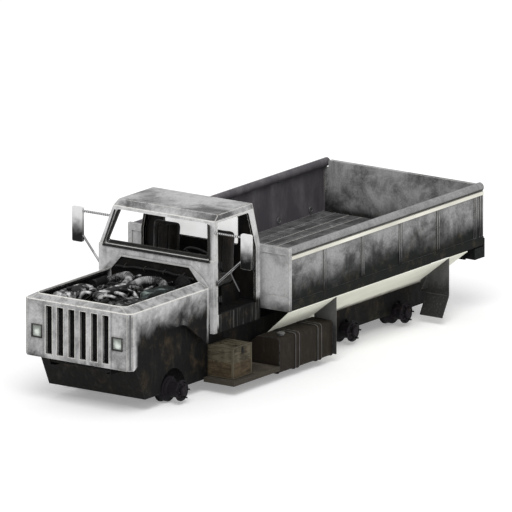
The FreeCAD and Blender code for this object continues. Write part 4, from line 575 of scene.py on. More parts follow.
@dataclass(frozen=True)
class CastMetal(Finish):
    """Cast or machined metal with oil stains, dust and pale chalky blotches."""

    base: Colour = grey(40)
    pale: Colour = grey(170)
    tint: Colour = tone(84, 120, 116)
    pale_share: float = 0.3
    tint_share: float = 0.15
    metallic: float = 0.35
    rough_low: float = 0.35
    scale: float = 9.0
    softness: float = 0.16

    def paint(self, graph: NodeGraph) -> None:
        """Builds the shader nodes."""
        cloud = graph.noise(self.scale, 8.0, 0.62, warp=0.7)
        low = 0.68 - 0.4 * self.pale_share
        colour = graph.blend(graph.fade(cloud, low, low + self.softness), self.base, self.pale)
        teal = graph.noise(self.scale * 0.8, 5.0, 0.6, shift=11.0)
        low = 0.72 - 0.4 * self.tint_share
        colour = graph.blend(graph.fade(teal, low, low + 0.12), colour, self.tint)
        # Painted shade: corners found by ambient occlusion are darkened.
        colour = graph.blend(graph.times(graph.corner_shade(0.06), 0.85), colour, grey(8))
        chipped = graph.fade(graph.noise(34.0, 5.0, 0.7, shift=1.0), 0.4, 0.6)
        # Pale edges: wear and a painted highlight.
        worn_and_highlit = graph.times(graph.edge(0.006), chipped)
        colour = graph.blend(graph.times(worn_and_highlit, 0.6), colour, self.pale)
        rough = graph.stretch_to(graph.noise(25.0, 5.0, 0.6, shift=7.0), self.rough_low, 0.8)
        graph.surface(colour, rough, graph.bump(graph.noise(120.0, 4.0, 0.7), 0.0015), metallic=self.metallic)


@dataclass(frozen=True)
class Rubber(Finish):
    """Rubber or plastic: dusty, slightly faded, fine grained."""

    base: Colour = grey(30)
    faded: Colour = grey(60)
    rough: float = 0.7
    top: float = 1.0
    bottom: float = 0.0

    def paint(self, graph: NodeGraph) -> None:
        """Builds the shader nodes."""
        share = graph.fade(graph.axis("z"), self.bottom, self.top)
        cloud = graph.noise(8.0, 7.0, 0.65, stretch=(1.0, 1.0, 0.4))
        wavy = graph.wobble(share, cloud, 0.9)
        colour = graph.blend(graph.fade(wavy, 0.2, 0.9), self.base, self.faded)
        dust = graph.fade(graph.noise(45.0, 5.0, 0.7, shift=2.0), 0.5, 0.75)
        colour = graph.blend(graph.times(dust, 0.3), colour, grey(120, 6))
        # Pale edges: wear and a painted highlight.
        worn_and_highlit = graph.times(graph.edge(0.006), 0.35)
        colour = graph.blend(worn_and_highlit, colour, grey(130, 3))
        rough = graph.stretch_to(graph.noise(20.0, 4.0), self.rough - 0.08, self.rough + 0.12)
        graph.surface(colour, rough, graph.bump(graph.noise(160.0, 3.0), 0.0008))


@dataclass(frozen=True)
class MirrorCase(Finish):
    """Mirror back with a painted reflection: white above, black below, broken up by blotches."""

    # Height where the painted reflection turns from black to white.
    middle: float = 1.8

    def paint(self, graph: NodeGraph) -> None:
        """Builds the shader nodes."""
        cloud = graph.noise(9.0, 5.0, 0.55)
        level = graph.wobble(graph.axis("z"), cloud, 0.22)
        # Painted reflection: white above the middle height and black below it, with a wavy border.
        colour = graph.blend(graph.fade(level, self.middle - 0.15, self.middle + 0.17), grey(10), grey(240))
        # Pale edges: wear and a painted highlight.
        worn_and_highlit = graph.times(graph.edge(0.006), 0.7)
        colour = graph.blend(worn_and_highlit, colour, grey(196, 3))
        graph.surface(colour, graph.stretch_to(cloud, 0.3, 0.6), graph.bump(cloud, 0.002))


@dataclass(frozen=True)
class MirrorGlass(Finish):
    """Silvered glass with dust and dark spots where the silver has gone."""

    silver: Colour = grey(214)

    def paint(self, graph: NodeGraph) -> None:
        """Builds the shader nodes."""
        spots = graph.fade(graph.noise(26.0, 6.0, 0.7), 0.58, 0.72)
        colour = graph.blend(graph.times(spots, 0.7), self.silver, grey(60))
        rough = graph.stretch_to(graph.noise(14.0, 5.0), 0.06, 0.3)
        graph.surface(colour, rough, graph.bump(spots, 0.0004), metallic=0.95, specular=0.5)


@dataclass(frozen=True)
class Cloth(Finish):
    """Coarse seat cloth with a weave, dust on its crown and painted shade in its creases."""

    base: Colour = tone(34, 29, 26)
    dusty: Colour = tone(88, 76, 64)

    def paint(self, graph: NodeGraph) -> None:
        """Builds the shader nodes."""
        warp = self.thread(graph, "x")
        weft = self.thread(graph, "z")
        weave = graph.times(warp, weft)
        cloud = graph.noise(7.0, 7.0, 0.65, stretch=(1.0, 1.0, 0.45), warp=0.4)
        colour = graph.blend(graph.fade(cloud, 0.42, 0.72), self.base, self.dusty)
        colour = graph.blend(graph.times(weave, 0.35), colour, grey(12))
        # Painted shade: creases found by ambient occlusion are darkened.
        colour = graph.blend(graph.times(graph.corner_shade(0.05), 0.7), colour, grey(8))
        lumps = graph.plus(graph.times(weave, 0.5), graph.noise(22.0, 4.0))
        graph.surface(colour, graph.stretch_to(cloud, 0.8, 0.95), graph.bump(lumps, 0.0016), sheen=0.25)

    def thread(self, graph: NodeGraph, letter: str) -> Socket:
        """Threads 3 mm apart along one axis, from 0 to 1."""
        wave = graph.math("SINE", graph.times(graph.axis(letter), 2.0 * math.pi / 0.003))
        return graph.stretch_to(graph.plus(graph.times(wave, 0.5), 0.5), 0.0, 1.0)


@dataclass(frozen=True)
class PaneGlass(Finish):
    """Pale frosted pane, dull with dust and scratches, made bright by a glow of painted light."""

    tint: Colour = grey(242)

    def paint(self, graph: NodeGraph) -> None:
        """Builds the shader nodes."""
        film = graph.noise(6.0, 6.0, 0.6)
        colour = graph.blend(graph.fade(film, 0.35, 0.75), self.tint, grey(232, 1))
        scratch = graph.noise(50.0, 3.0, 0.5, stretch=(1.0, 1.0, 0.2))
        # Painted light: a strong emission makes the pane glow though it is no lamp.
        graph.surface(colour, graph.stretch_to(film, 0.3, 0.45), graph.bump(scratch, 0.0003), specular=0.5,
                      glow=0.7)


@dataclass(frozen=True)
class LampGlass(Finish):
    """Old greenish lamp glass with a painted highlight: bright round one point and darker towards its border.
    """

    # Bright colour of the painted highlight and the darker colour round it.
    centre: Colour = tone(222, 228, 222)
    border: Colour = tone(134, 140, 134)
    # Middle of the painted highlight, across and up, and its reach.
    highlight_centre: tuple[float, float] = (0.62, 0.95)
    reach: float = 0.075

    def paint(self, graph: NodeGraph) -> None:
        """Builds the shader nodes."""
        across = graph.minus(graph.math("ABSOLUTE", graph.axis("x")), self.highlight_centre[0])
        upward = graph.minus(graph.axis("z"), self.highlight_centre[1])
        radius = graph.math("SQRT", graph.plus(graph.times(across, across),
                                               graph.times(upward, upward)))
        cloud = graph.noise(16.0, 3.0, 0.5)
        wavy = graph.wobble(radius, cloud, 0.10)
        colour = graph.blend(graph.fade(wavy, self.reach * 0.1, self.reach), self.centre, self.border)
        graph.surface(colour, graph.stretch_to(cloud, 0.08, 0.3), graph.bump(cloud, 0.0005), specular=0.5)


@dataclass(frozen=True)
class LampLens(Finish):
    """Coloured lamp lens with fine pyramids."""

    hue: Colour = tone(150, 26, 20)

    def paint(self, graph: NodeGraph) -> None:
        """Builds the shader nodes."""
        cloud = graph.noise(40.0, 4.0, 0.6)
        colour = graph.blend(graph.times(graph.fade(cloud, 0.45, 0.7), 0.5), self.hue, grey(52, 4))
        graph.surface(colour, 0.3, graph.bump(graph.cells(220.0), 0.001), specular=0.5)


# Shapes

@dataclass
class Shell:
    """Vertices and faces of one surface."""

    points: Points
    faces: list[list[int]]

    def joined(self, *others: "Shell") -> "Shell":
        """This shell and others as one."""
        points = [self.points]
        faces = list(self.faces)
        start = len(self.points)
        for other in others:
            points.append(other.points)
            faces += [[corner + start for corner in one] for one in other.faces]
            start += len(other.points)
        return Shell(np.concatenate(points), faces)

    def copies(self, places: Points) -> "Shell":
        """One copy at each place: every vertex plus every place, as whole arrays."""
        count = len(self.points)
        points = (places[:, None, :] + self.points[None, :, :]).reshape(-1, 3)
        faces = [[corner + count * turn for corner in one]
                 for turn in range(len(places)) for one in self.faces]
        return Shell(points, faces)

    def mirrored(self) -> "Shell":
        """The same shell on the truck's right side."""
        return Shell(self.points * RIGHT_SIDE_FLIP, [one[::-1] for one in self.faces])

    def both(self) -> "Shell":
        """The shell with its mirror copy."""
        return self.joined(self.mirrored())


def together(shells: Sequence[Shell]) -> Shell:
    """Several shells as one, in their order."""
    return shells[0].joined(*shells[1:])


def grid_faces(rows: int, columns: int, wrap_rows: bool, wrap_columns: bool) -> list[list[int]]:
    """Quads of a grid of points.

    Args:
        rows: Number of points along the first parameter.
        columns: Number of points along the second.
        wrap_rows: True joins the last row to the first.
        wrap_columns: True joins the last column to the first.

    Returns:
        Lists of four corners.
    """
    i = np.arange(rows if wrap_rows else rows - 1)
    j = np.arange(columns if wrap_columns else columns - 1)
    i, j = (a.ravel() for a in np.meshgrid(i, j, indexing="ij"))
    following = (i + 1) % rows
    beside = (j + 1) % columns
    quads = np.stack([i * columns + j, following * columns + j, following * columns + beside,
                      i * columns + beside], axis=1)
    return quads.tolist()


def rings_shell(points: Points, wrap_rows: bool = False) -> Shell:
    """Surface through closed rings of points, with its ends closed by flat faces.

    Args:
        points: Array of rings by points by 3.
        wrap_rows: True joins the last ring to the first.

    Returns:
        The shell.
    """
    rows, columns = points.shape[:2]
    faces = grid_faces(rows, columns, wrap_rows, True)
    if not wrap_rows:
        last = (rows - 1) * columns
        faces.append(list(range(columns))[::-1])
        faces.append(list(range(last, last + columns)))
    return Shell(points.reshape(-1, 3), faces)


def unit(vectors: Points) -> Points:
    """Vectors divided by their lengths."""
    return vectors / np.maximum(np.linalg.norm(vectors, axis=-1, keepdims=True), 1e-12)


def powered(wave: Points, power: float) -> Points:
    """The wave with its size raised to a power and its sign kept."""
    return np.sign(wave) * np.abs(wave) ** power


def path_frames(path: Points, closed: bool) -> tuple[Points, Points]:
    """Two directions square to a path at each point: the tangent crossed with the axis that it follows least.

    Args:
        path: Points along the path.
        closed: True if the path is a loop.

    Returns:
        The sideways and the upward directions.
    """
    if closed:
        tangent = unit(np.roll(path, -1, axis=0) - np.roll(path, 1, axis=0))
    else:
        tangent = unit(np.gradient(path, axis=0))
    reference = np.eye(3)[np.argmin(np.abs(tangent).mean(axis=0))]
    side = unit(np.cross(tangent, reference))
    return side, np.cross(tangent, side)


def tube(path: Sequence[Sequence[float]] | Points, radius: float | Points, sides: int = 10,
         closed: bool = False, flat: float = 1.0) -> Shell:
    """Round bar along a path: point = path + radius (cos a sideways + flat sin a upwards).

    Args:
        path: Points along the middle.
        radius: One radius, or one for each point.
        sides: Number of points round the bar.
        closed: True joins the bar's ends.
        flat: Squeezes the round section.

    Returns:
        The shell.
    """
    path = np.asarray(path, float)
    side, upward = path_frames(path, closed)
    angle = np.linspace(0, 2 * np.pi, sides, endpoint=False)
    radius = np.broadcast_to(np.asarray(radius, float), (len(path),))[:, None, None]
    ring = (np.cos(angle)[None, :, None] * side[:, None, :]
            + flat * np.sin(angle)[None, :, None] * upward[:, None, :])
    return rings_shell(path[:, None, :] + radius * ring, wrap_rows=closed)


def curve_through(knots: Sequence[Sequence[float]], steps: int = 40) -> Points:
    """Smooth path through knots: a sum of knots weighted by cubic Hermite curves with centred slopes.

    Args:
        knots: Points that the path passes.
        steps: Number of points made in all.

    Returns:
        The path's points.
    """
    knots = np.asarray(knots, float)
    slopes = np.gradient(knots, axis=0)
    t = np.linspace(0, len(knots) - 1, steps)
    i = np.minimum(t.astype(int), len(knots) - 2)
    f = (t - i)[:, None]
    return ((2 * f ** 3 - 3 * f ** 2 + 1) * knots[i] + (f ** 3 - 2 * f ** 2 + f) * slopes[i]
            + (3 * f ** 2 - 2 * f ** 3) * knots[i + 1] + (f ** 3 - f ** 2) * slopes[i + 1])


def cornered_path(corners: Sequence[Sequence[float]], radius: float | Sequence[float], closed: bool = False,
                  steps: int = 6) -> Points:
    """Straight runs joined by bends; each bend is the quadratic curve between two points on its runs.

    Args:
        corners: The path's corners.
        radius: Distance from a corner at which its bend starts, one or one for each corner.
        closed: True for a loop.
        steps: Points in each bend.

    Returns:
        The path's points.
    """
    corners = np.asarray(corners, float)
    reach = np.broadcast_to(np.asarray(radius, float), (len(corners),))[:, None]
    before = np.roll(corners, 1, axis=0)
    after = np.roll(corners, -1, axis=0)
    start = corners + unit(before - corners) * reach
    end = corners + unit(after - corners) * reach
    t = np.linspace(0, 1, steps)[None, :, None]
    bends = (1 - t) ** 2 * start[:, None] + 2 * t * (1 - t) * corners[:, None] + t ** 2 * end[:, None]
    if closed:
        return bends.reshape(-1, 3)
    inner = bends[1:-1].reshape(-1, 3)
    return np.concatenate([corners[:1], inner, corners[-1:]])


def turned(profile: Sequence[Sequence[float]], centre: Sequence[float], direction: Sequence[float],
           sides: int = 24) -> Shell:
    """Turned piece: point = centre + along direction + radius round it.

    Args:
        profile: Pairs of distance along the axis and radius.
        centre: Start of the axis.
        direction: The axis.
        sides: Number of points round it.

    Returns:
        The shell.
    """
    profile = np.asarray(profile, float)
    axis = unit(np.asarray(direction, float))
    reference = np.eye(3)[np.argmin(np.abs(axis))]
    side = unit(np.cross(axis, reference))
    upward = np.cross(axis, side)
    angle = np.linspace(0, 2 * np.pi, sides, endpoint=False)
    ring = np.cos(angle)[:, None] * side + np.sin(angle)[:, None] * upward
    points = (np.asarray(centre, float) + profile[:, 0, None, None] * axis
              + profile[:, 1, None, None] * ring[None])
    return rings_shell(points)


def soft_block(centre: Sequence[float], half: Sequence[float], power: float = 0.22, steps: int = 20) -> Shell:
    """Rounded block: a ball whose sines and cosines are raised to a small power, so that it fills its box.

    Args:
        centre: Middle of the block.
        half: Half its size along each axis.
        power: Near 0 for a sharp block and 1 for a ball.
        steps: Points from pole to pole.

    Returns:
        The shell.
    """
    rise = np.linspace(-np.pi / 2, np.pi / 2, steps)[1:-1, None]
    turn = np.linspace(0, 2 * np.pi, 2 * steps, endpoint=False)[None, :]
    ring = powered(np.cos(rise), power)
    points = np.stack([half[0] * ring * powered(np.cos(turn), power),
                       half[1] * ring * powered(np.sin(turn), power),
                       half[2] * powered(np.sin(rise), power) * np.ones_like(turn)], axis=2)
    return rings_shell(points + np.asarray(centre, float))


def ribbed_block(centre: Sequence[float], half: Sequence[float], ribs: int, depth: float) -> Shell:
    """Rounded block with ribs across its length: the block's section swells by a cosine along Y.

    Args:
        centre: Middle of the block.
        half: Half its size along each axis.
        ribs: Number of ribs.
        depth: Depth of the ribs as a share of the section.

    Returns:
        The shell.
    """
    steps = 10 * ribs
    along = np.linspace(-1, 1, steps)[:, None]
    turn = np.linspace(0, 2 * np.pi, 40, endpoint=False)[None, :]
    taper = (1 - np.minimum(np.abs(along), 0.999) ** 14) ** 0.5
    swell = taper * (1 - depth * 0.5 * (1 - np.cos(2 * np.pi * ribs * (along + 1) / 2)))
    across, upright = powered(np.cos(turn), 0.45), powered(np.sin(turn), 0.45)
    points = np.stack([half[0] * swell * across, half[1] * along * np.ones_like(turn),
                       half[2] * swell * upright], axis=2)
    return rings_shell(points + np.asarray(centre, float))


def bar_along(outline: Sequence[Sequence[float]], start: Sequence[float], end: Sequence[float],
              sideways: Sequence[float]) -> Shell:
    """Straight bar with a closed outline, from one point to another.

    Args:
        outline: Pairs across the bar.
        start: First end.
        end: Last end.
        sideways: Direction of the outline's first number.

    Returns:
        The shell.
    """
    outline = np.asarray(outline, float)
    start, end = np.asarray(start, float), np.asarray(end, float)
    across = unit(np.asarray(sideways, float))
    upward = unit(np.cross(end - start, across))
    ring = outline[:, :1] * across + outline[:, 1:] * upward
    return rings_shell(np.stack([start + ring, end + ring]))


def plate(width: float, height: float) -> list[list[float]]:
    """Outline of a plain rectangle about its middle."""
    w, h = width / 2, height / 2
    return [[-w, -h], [w, -h], [w, h], [-w, h]]


def dome(radius: float, height: float, direction: Sequence[float], sides: int = 8) -> Shell:
    """Rivet head: a quarter circle turned about its axis, at the origin."""
    t = np.linspace(0, np.pi / 2, 4)
    profile = np.stack([height * np.sin(t), radius * np.maximum(np.cos(t), 0.06)], axis=1)
    return turned(profile, (0, 0, 0), direction, sides)


def hex_nut(size: float, height: float, direction: Sequence[float]) -> Shell:
    """Six-sided nut at the origin, with chamfered rims."""
    profile = [[0, size * 0.9], [height * 0.15, size], [height * 0.85, size], [height, size * 0.88]]
    return turned(profile, (0, 0, 0), direction, 6)


def line_of(start: Sequence[float], end: Sequence[float], count: int) -> Points:
    """Evenly spaced places between two points."""
    t = np.linspace(0, 1, count)[:, None]
    return np.asarray(start, float) * (1 - t) + np.asarray(end, float) * t


def shell_mesh(name: str, shell: Shell, weld: bool) -> bpy.types.Mesh:
    """Mesh of a shell, with its faces turned outwards.

    Args:
        name: The mesh's name.
        shell: Its surface.
        weld: True merges points that meet.

    Returns:
        The mesh.
    """
    mesh = bpy.data.meshes.new(name)
    mesh.from_pydata(shell.points.tolist(), [], shell.faces)
    work = bmesh.new()
    work.from_mesh(mesh)
    if weld:
        bmesh.ops.remove_doubles(work, verts=work.verts, dist=WELD_REACH)
    bmesh.ops.recalc_face_normals(work, faces=work.faces)
    work.to_mesh(mesh)
    work.free()
    return mesh


def make_piece(name: str, shell: Shell, finish: Finish, body: str = "truck", smooth: bool = True,
               weld: bool = False) -> bpy.types.Object:
    """Puts a shell into a mesh object that rides on a body.

    Args:
        name: The piece's plain name.
        shell: Its surface.
        finish: Its finish.
        body: The CAD body that carries it.
        smooth: True shades it smooth, with edges above 40 degrees kept sharp.
        weld: True merges points that meet.

    Returns:
        The object.
    """
    mesh = shell_mesh(name, shell, weld)
    mesh.polygons.foreach_set("use_smooth", np.full(len(mesh.polygons), smooth))
    if smooth:
        mesh.set_sharp_from_angle(angle=SHARP_ANGLE)
    mesh.materials.append(finish.material())
    made = bpy.data.objects.new(name, mesh)
    bpy.context.scene.collection.objects.link(made)
    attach(made, body)
    log.info("built %s with %d faces on %s", name, len(mesh.polygons), body)
    return made


def read_shell(holder: bpy.types.Object) -> Shell:
    """An object's mesh with its modifiers worked in, read out as whole arrays of points and quads."""
    shown = holder.evaluated_get(bpy.context.evaluated_depsgraph_get())
    mesh = bpy.data.meshes.new_from_object(shown)
    points = np.empty(len(mesh.vertices) * 3)
    mesh.vertices.foreach_get("co", points)
    corners = np.empty(len(mesh.loops), dtype=np.int32)
    mesh.loops.foreach_get("vertex_index", corners)
    starts = np.empty(len(mesh.polygons), dtype=np.int32)
    mesh.polygons.foreach_get("loop_start", starts)
    faces = [one.tolist() for one in np.split(corners, starts[1:])]
    bpy.data.meshes.remove(mesh)
    return Shell(points.reshape(-1, 3), faces)


def hold_shell(shell: Shell) -> bpy.types.Object:
    """A passing object that holds a welded shell while modifiers work on it."""
    holder = bpy.data.objects.new("passing", shell_mesh("passing", shell, True))
    bpy.context.scene.collection.objects.link(holder)
    return holder


def drop_holder(holder: bpy.types.Object) -> None:
    """Removes a passing object and its mesh."""
    mesh = holder.data
    bpy.data.objects.remove(holder)
    bpy.data.meshes.remove(mesh)


def swollen(shell: Shell, cap: float, voxel: float = 0.009, pressure: float = 4.0,
            last_frame: int = 20) -> Shell:
    """Cushion blown up as cloth: an even mesh, some frames of cloth under pressure, and one subdivision.

    Args:
        shell: Closed shape, a little smaller than the cushion.
        cap: Furthest that a point may move.
        voxel: Spacing of the even mesh.
        pressure: Pressure inside the cloth.
        last_frame: Frame at which the cloth is read.
    """
    holder = hold_shell(shell)
    even = holder.modifiers.new("even_mesh", "REMESH")
    even.mode = "VOXEL"
    even.voxel_size = voxel
    rest = read_shell(holder)
    drop_holder(holder)
    holder = hold_shell(rest)
    rest = read_shell(holder)
    cloth = holder.modifiers.new("cloth", "CLOTH")
    cloth.settings.use_pressure = True
    cloth.settings.uniform_pressure_force = pressure
    cloth.settings.effector_weights.gravity = 0.0
    for frame_number in range(1, last_frame + 1):
        bpy.context.scene.frame_set(frame_number)
    moved = read_shell(holder).points - rest.points
    length = np.linalg.norm(moved, axis=1, keepdims=True)
    moved = moved * np.minimum(1.0, cap / np.maximum(length, 1e-9))
    drop_holder(holder)
    bpy.context.scene.frame_set(1)
    holder = hold_shell(Shell(rest.points + moved, rest.faces))
    smooth = holder.modifiers.new("smooth", "SUBSURF")
    smooth.levels = smooth.render_levels = 1
    full = read_shell(holder)
    drop_holder(holder)
    log.info("swelled a cushion of %d faces by at most %.1f mm", len(full.faces), 1000 * float(length.max()))
    return full


def corners_of(node: str) -> tuple[Points, Points]:
    """Lowest and highest corner of a CAD node, as arrays."""
    low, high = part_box(node)
    return np.array(low), np.array(high)


# Nose

@dataclass
class Nose:
    """Grille panel, lamps, side panels, open bonnet border and cowl."""

    bead_radius: float = 0.005
    slot_count: int = 6
    slot_pitch: float = 0.175
    slot_width: float = 0.104
    slot_margin: float = 0.052
    corner: float = 0.06
    lamp_x: float = 0.62
    lamp_size: tuple[float, float] = (0.165, 0.175)
    finish: Finish = WornPaint("nose_front_paint", "nose_paint", light=grey(196), dull=grey(140),
                               grime=grey(44), grime_top=0.62, grime_blur=0.2, grime_soft=0.06,
                               run_strength=0.6, light_share=0.45, edge_strength=0.9, patch_scale=3.6,
                               shift=3.0)
    rim_finish: Finish = WornPaint("bonnet_rim_paint", "nose_paint", light=grey(186), dull=grey(120),
                                   grime=grey(50), run_strength=0.3, light_share=0.5, edge_width=0.022,
                                   edge_colour=grey(236, 4), edge_strength=1.0, patch_scale=5.0, shift=7.0)
    cowl_finish: Finish = WornPaint("cowl_paint", "nose_paint", light=grey(206), dull=grey(138),
                                    grime=grey(24), grime_top=0.95, shift=15.0)

    def build(self) -> None:
        """Dresses the nose's CAD nodes and adds its trim."""
        low, high = corners_of("grille_panel")
        fender_low, fender_high = corners_of("fender_left")
        side = NoseSidePaint("nose_side_paint", "nose_paint", light=grey(216), dull=grey(164), grime=grey(15),
                             grime_top=1.34, grime_slope=0.06, grime_blur=0.34, grime_soft=0.2,
                             light_share=0.6, run_strength=0.3,
                             front_strip=(fender_low[1] + 0.03, fender_low[1] + 0.12),
                             rear_strip=(fender_high[1] - 0.03, fender_high[1] + 0.0), shift=1.0)
        self.finish.dress("grille_panel")
        self.rim_finish.dress("bonnet_rim")
        self.cowl_finish.dress("cowl")
        side.dress("fender_left", "fender_right")
        Rubber("lamp_frame_plastic", "lamp", base=grey(30), faded=grey(64), top=1.1,
               bottom=0.8).dress("headlamps")
        DarkSteel("firewall_steel", "firewall_paint", base=tone(14, 12, 11), mud=tone(52, 42, 34),
                  mud_share=0.3, low_top=0.0).dress("firewall")
        self.front_trim(low, high)
        self.dark_lines(low, high)
        self.lamps(low, high)

    def dark_lines(self, low: Points, high: Points) -> None:
        """Dark groove down each cut corner and a thin seam beside the first and last slot."""
        middle = np.array([high[0] - self.corner / 2, low[1] + self.corner / 2, 0.0])
        foot, head = np.array([0, 0, low[2] + 0.012]), np.array([0, 0, high[2] - 0.008])
        groove = bar_along(plate(0.022, 0.004), middle + foot, middle + head, (1, 1, 0))
        seam_x = (self.slot_count - 1) / 2 * self.slot_pitch + self.slot_width / 2 + 0.034
        start = np.array([seam_x, low[1], 0.0])
        seam = bar_along(plate(0.007, 0.003), start + foot, start + head, (1, 0, 0))
        make_piece("nose_dark_lines", groove.joined(seam).both(), GROOVE, smooth=False)

    def front_trim(self, low: Points, high: Points) -> None:
        """Upright beads on the cut corners, slot frames and the wire screen behind them."""
        half = high[0]
        front = low[1]
        beads = []
        for x, y in ((half - self.corner, front), (half - 0.003, front + self.corner)):
            beads.append(tube([[x, y, low[2] + 0.01], [x, y, high[2] - 0.01]], self.bead_radius))
        make_piece("nose_corner_beads", together(beads).both(), self.finish)
        bottom, top = low[2] + self.slot_margin, high[2] - self.slot_margin
        w = self.slot_width / 2
        ring = cornered_path([[-w, front, bottom], [w, front, bottom], [w, front, top], [-w, front, top]],
                             0.012, closed=True)
        first = -(self.slot_count - 1) / 2 * self.slot_pitch
        places = line_of([first, 0, 0], [-first, 0, 0], self.slot_count)
        frames = tube(ring, 0.004, 6, closed=True).copies(places)
        make_piece("grille_slot_frames", frames, self.rim_finish)
        reach = -first + self.slot_pitch / 2
        depth = front + 0.05
        rods = tube([[-reach, depth, 0], [reach, depth, 0]], 0.0015, 4)
        across = rods.copies(line_of([0, 0, bottom], [0, 0, top], 34))
        bars = tube([[0, depth + 0.003, bottom], [0, depth + 0.003, top]], 0.0015, 4)
        upright = bars.copies(line_of([-reach, 0, 0], [reach, 0, 0], 60))
        make_piece("grille_wire_screen", across.joined(upright), DARK_FITTING, smooth=False)

    def lamps(self, low: Points, high: Points) -> None:
        """Fluted lamp glasses and bezel screws."""
        middle = low[2] + 0.455 * (high[2] - low[2])
        w, h = self.lamp_size[0] / 2 - 0.016, self.lamp_size[1] / 2 - 0.016
        u = np.linspace(-1, 1, 81)[:, None]
        v = np.linspace(-1, 1, 25)[None, :]
        flutes = 0.0012 * np.abs(np.sin(u * 9 * np.pi)) * (1 - v ** 8)
        crown = 0.010 * (1 - u ** 2) * (1 - v ** 2)
        face = np.stack([self.lamp_x + w * u + 0 * v, low[1] + 0.002 - crown - flutes,
                         middle + h * v + 0 * u], axis=2)
        glass = Shell(face.reshape(-1, 3), grid_faces(81, 25, False, False))
        # Lamp glasses with a painted highlight centred a little below the lamp's middle.
        make_piece("lamp_glasses", glass.both(),
                   LampGlass("lamp_glass", "lamp", highlight_centre=(self.lamp_x, middle - 0.015)))
        corner = np.array([[sx * (w + 0.008), 0, sz * (h + 0.008)] for sx in (-1, 1) for sz in (-1, 1)])
        places = corner + np.array([self.lamp_x, low[1] - 0.009, middle])
        screws = dome(0.005, 0.003, (0, -1, 0)).copies(places)
        make_piece("lamp_screws", screws.both(), BARE_STEEL)


# Shared small finishes

DARK_FITTING = DarkSteel("dark_fitting_steel", "frame", base=grey(16), mud_share=0.2, edge_strength=0.5)
BARE_STEEL = CastMetal("bare_fastener_steel", "spring", base=grey(110), pale=grey(170), tint_share=0.0,
                       pale_share=0.4, metallic=0.6)
DARK_RUBBER = Rubber("dark_rubber", "flap_rubber", base=grey(14), faded=grey(32), top=2.2, bottom=0.4)
# Dark grey for hinges, treads, channels and thin lines; on the ribs it is painted shade.
SOOT_AND_SHADE = DarkSteel("soot_and_shade_line", "frame", base=grey(34), mud=grey(70), mud_share=0.3, edge_strength=0.0)
GROOVE = DarkSteel("groove_line", "nose_paint", base=grey(104), mud=grey(140), mud_share=0.5,
                   edge_strength=0.0)
BOX_IRON = DarkSteel("box_iron", "box_wood", base=tone(84, 78, 64), mud=tone(112, 102, 82), mud_share=0.5,
                     low_top=0.0, edge_strength=0.3)
HUB_BOLT = CastMetal("hub_bolt_iron", "hub_iron", base=tone(34, 31, 35), pale=tone(72, 66, 70),
                     tint_share=0.2,
                     tint=tone(60, 46, 34), pale_share=0.3, metallic=0.2, rough_low=0.5)
PALE_STEEL = CastMetal("pale_worn_steel", "nose_paint", base=grey(150), pale=grey(208), tint_share=0.0,
                       pale_share=0.5, metallic=0.1, rough_low=0.5)


# Engine bay

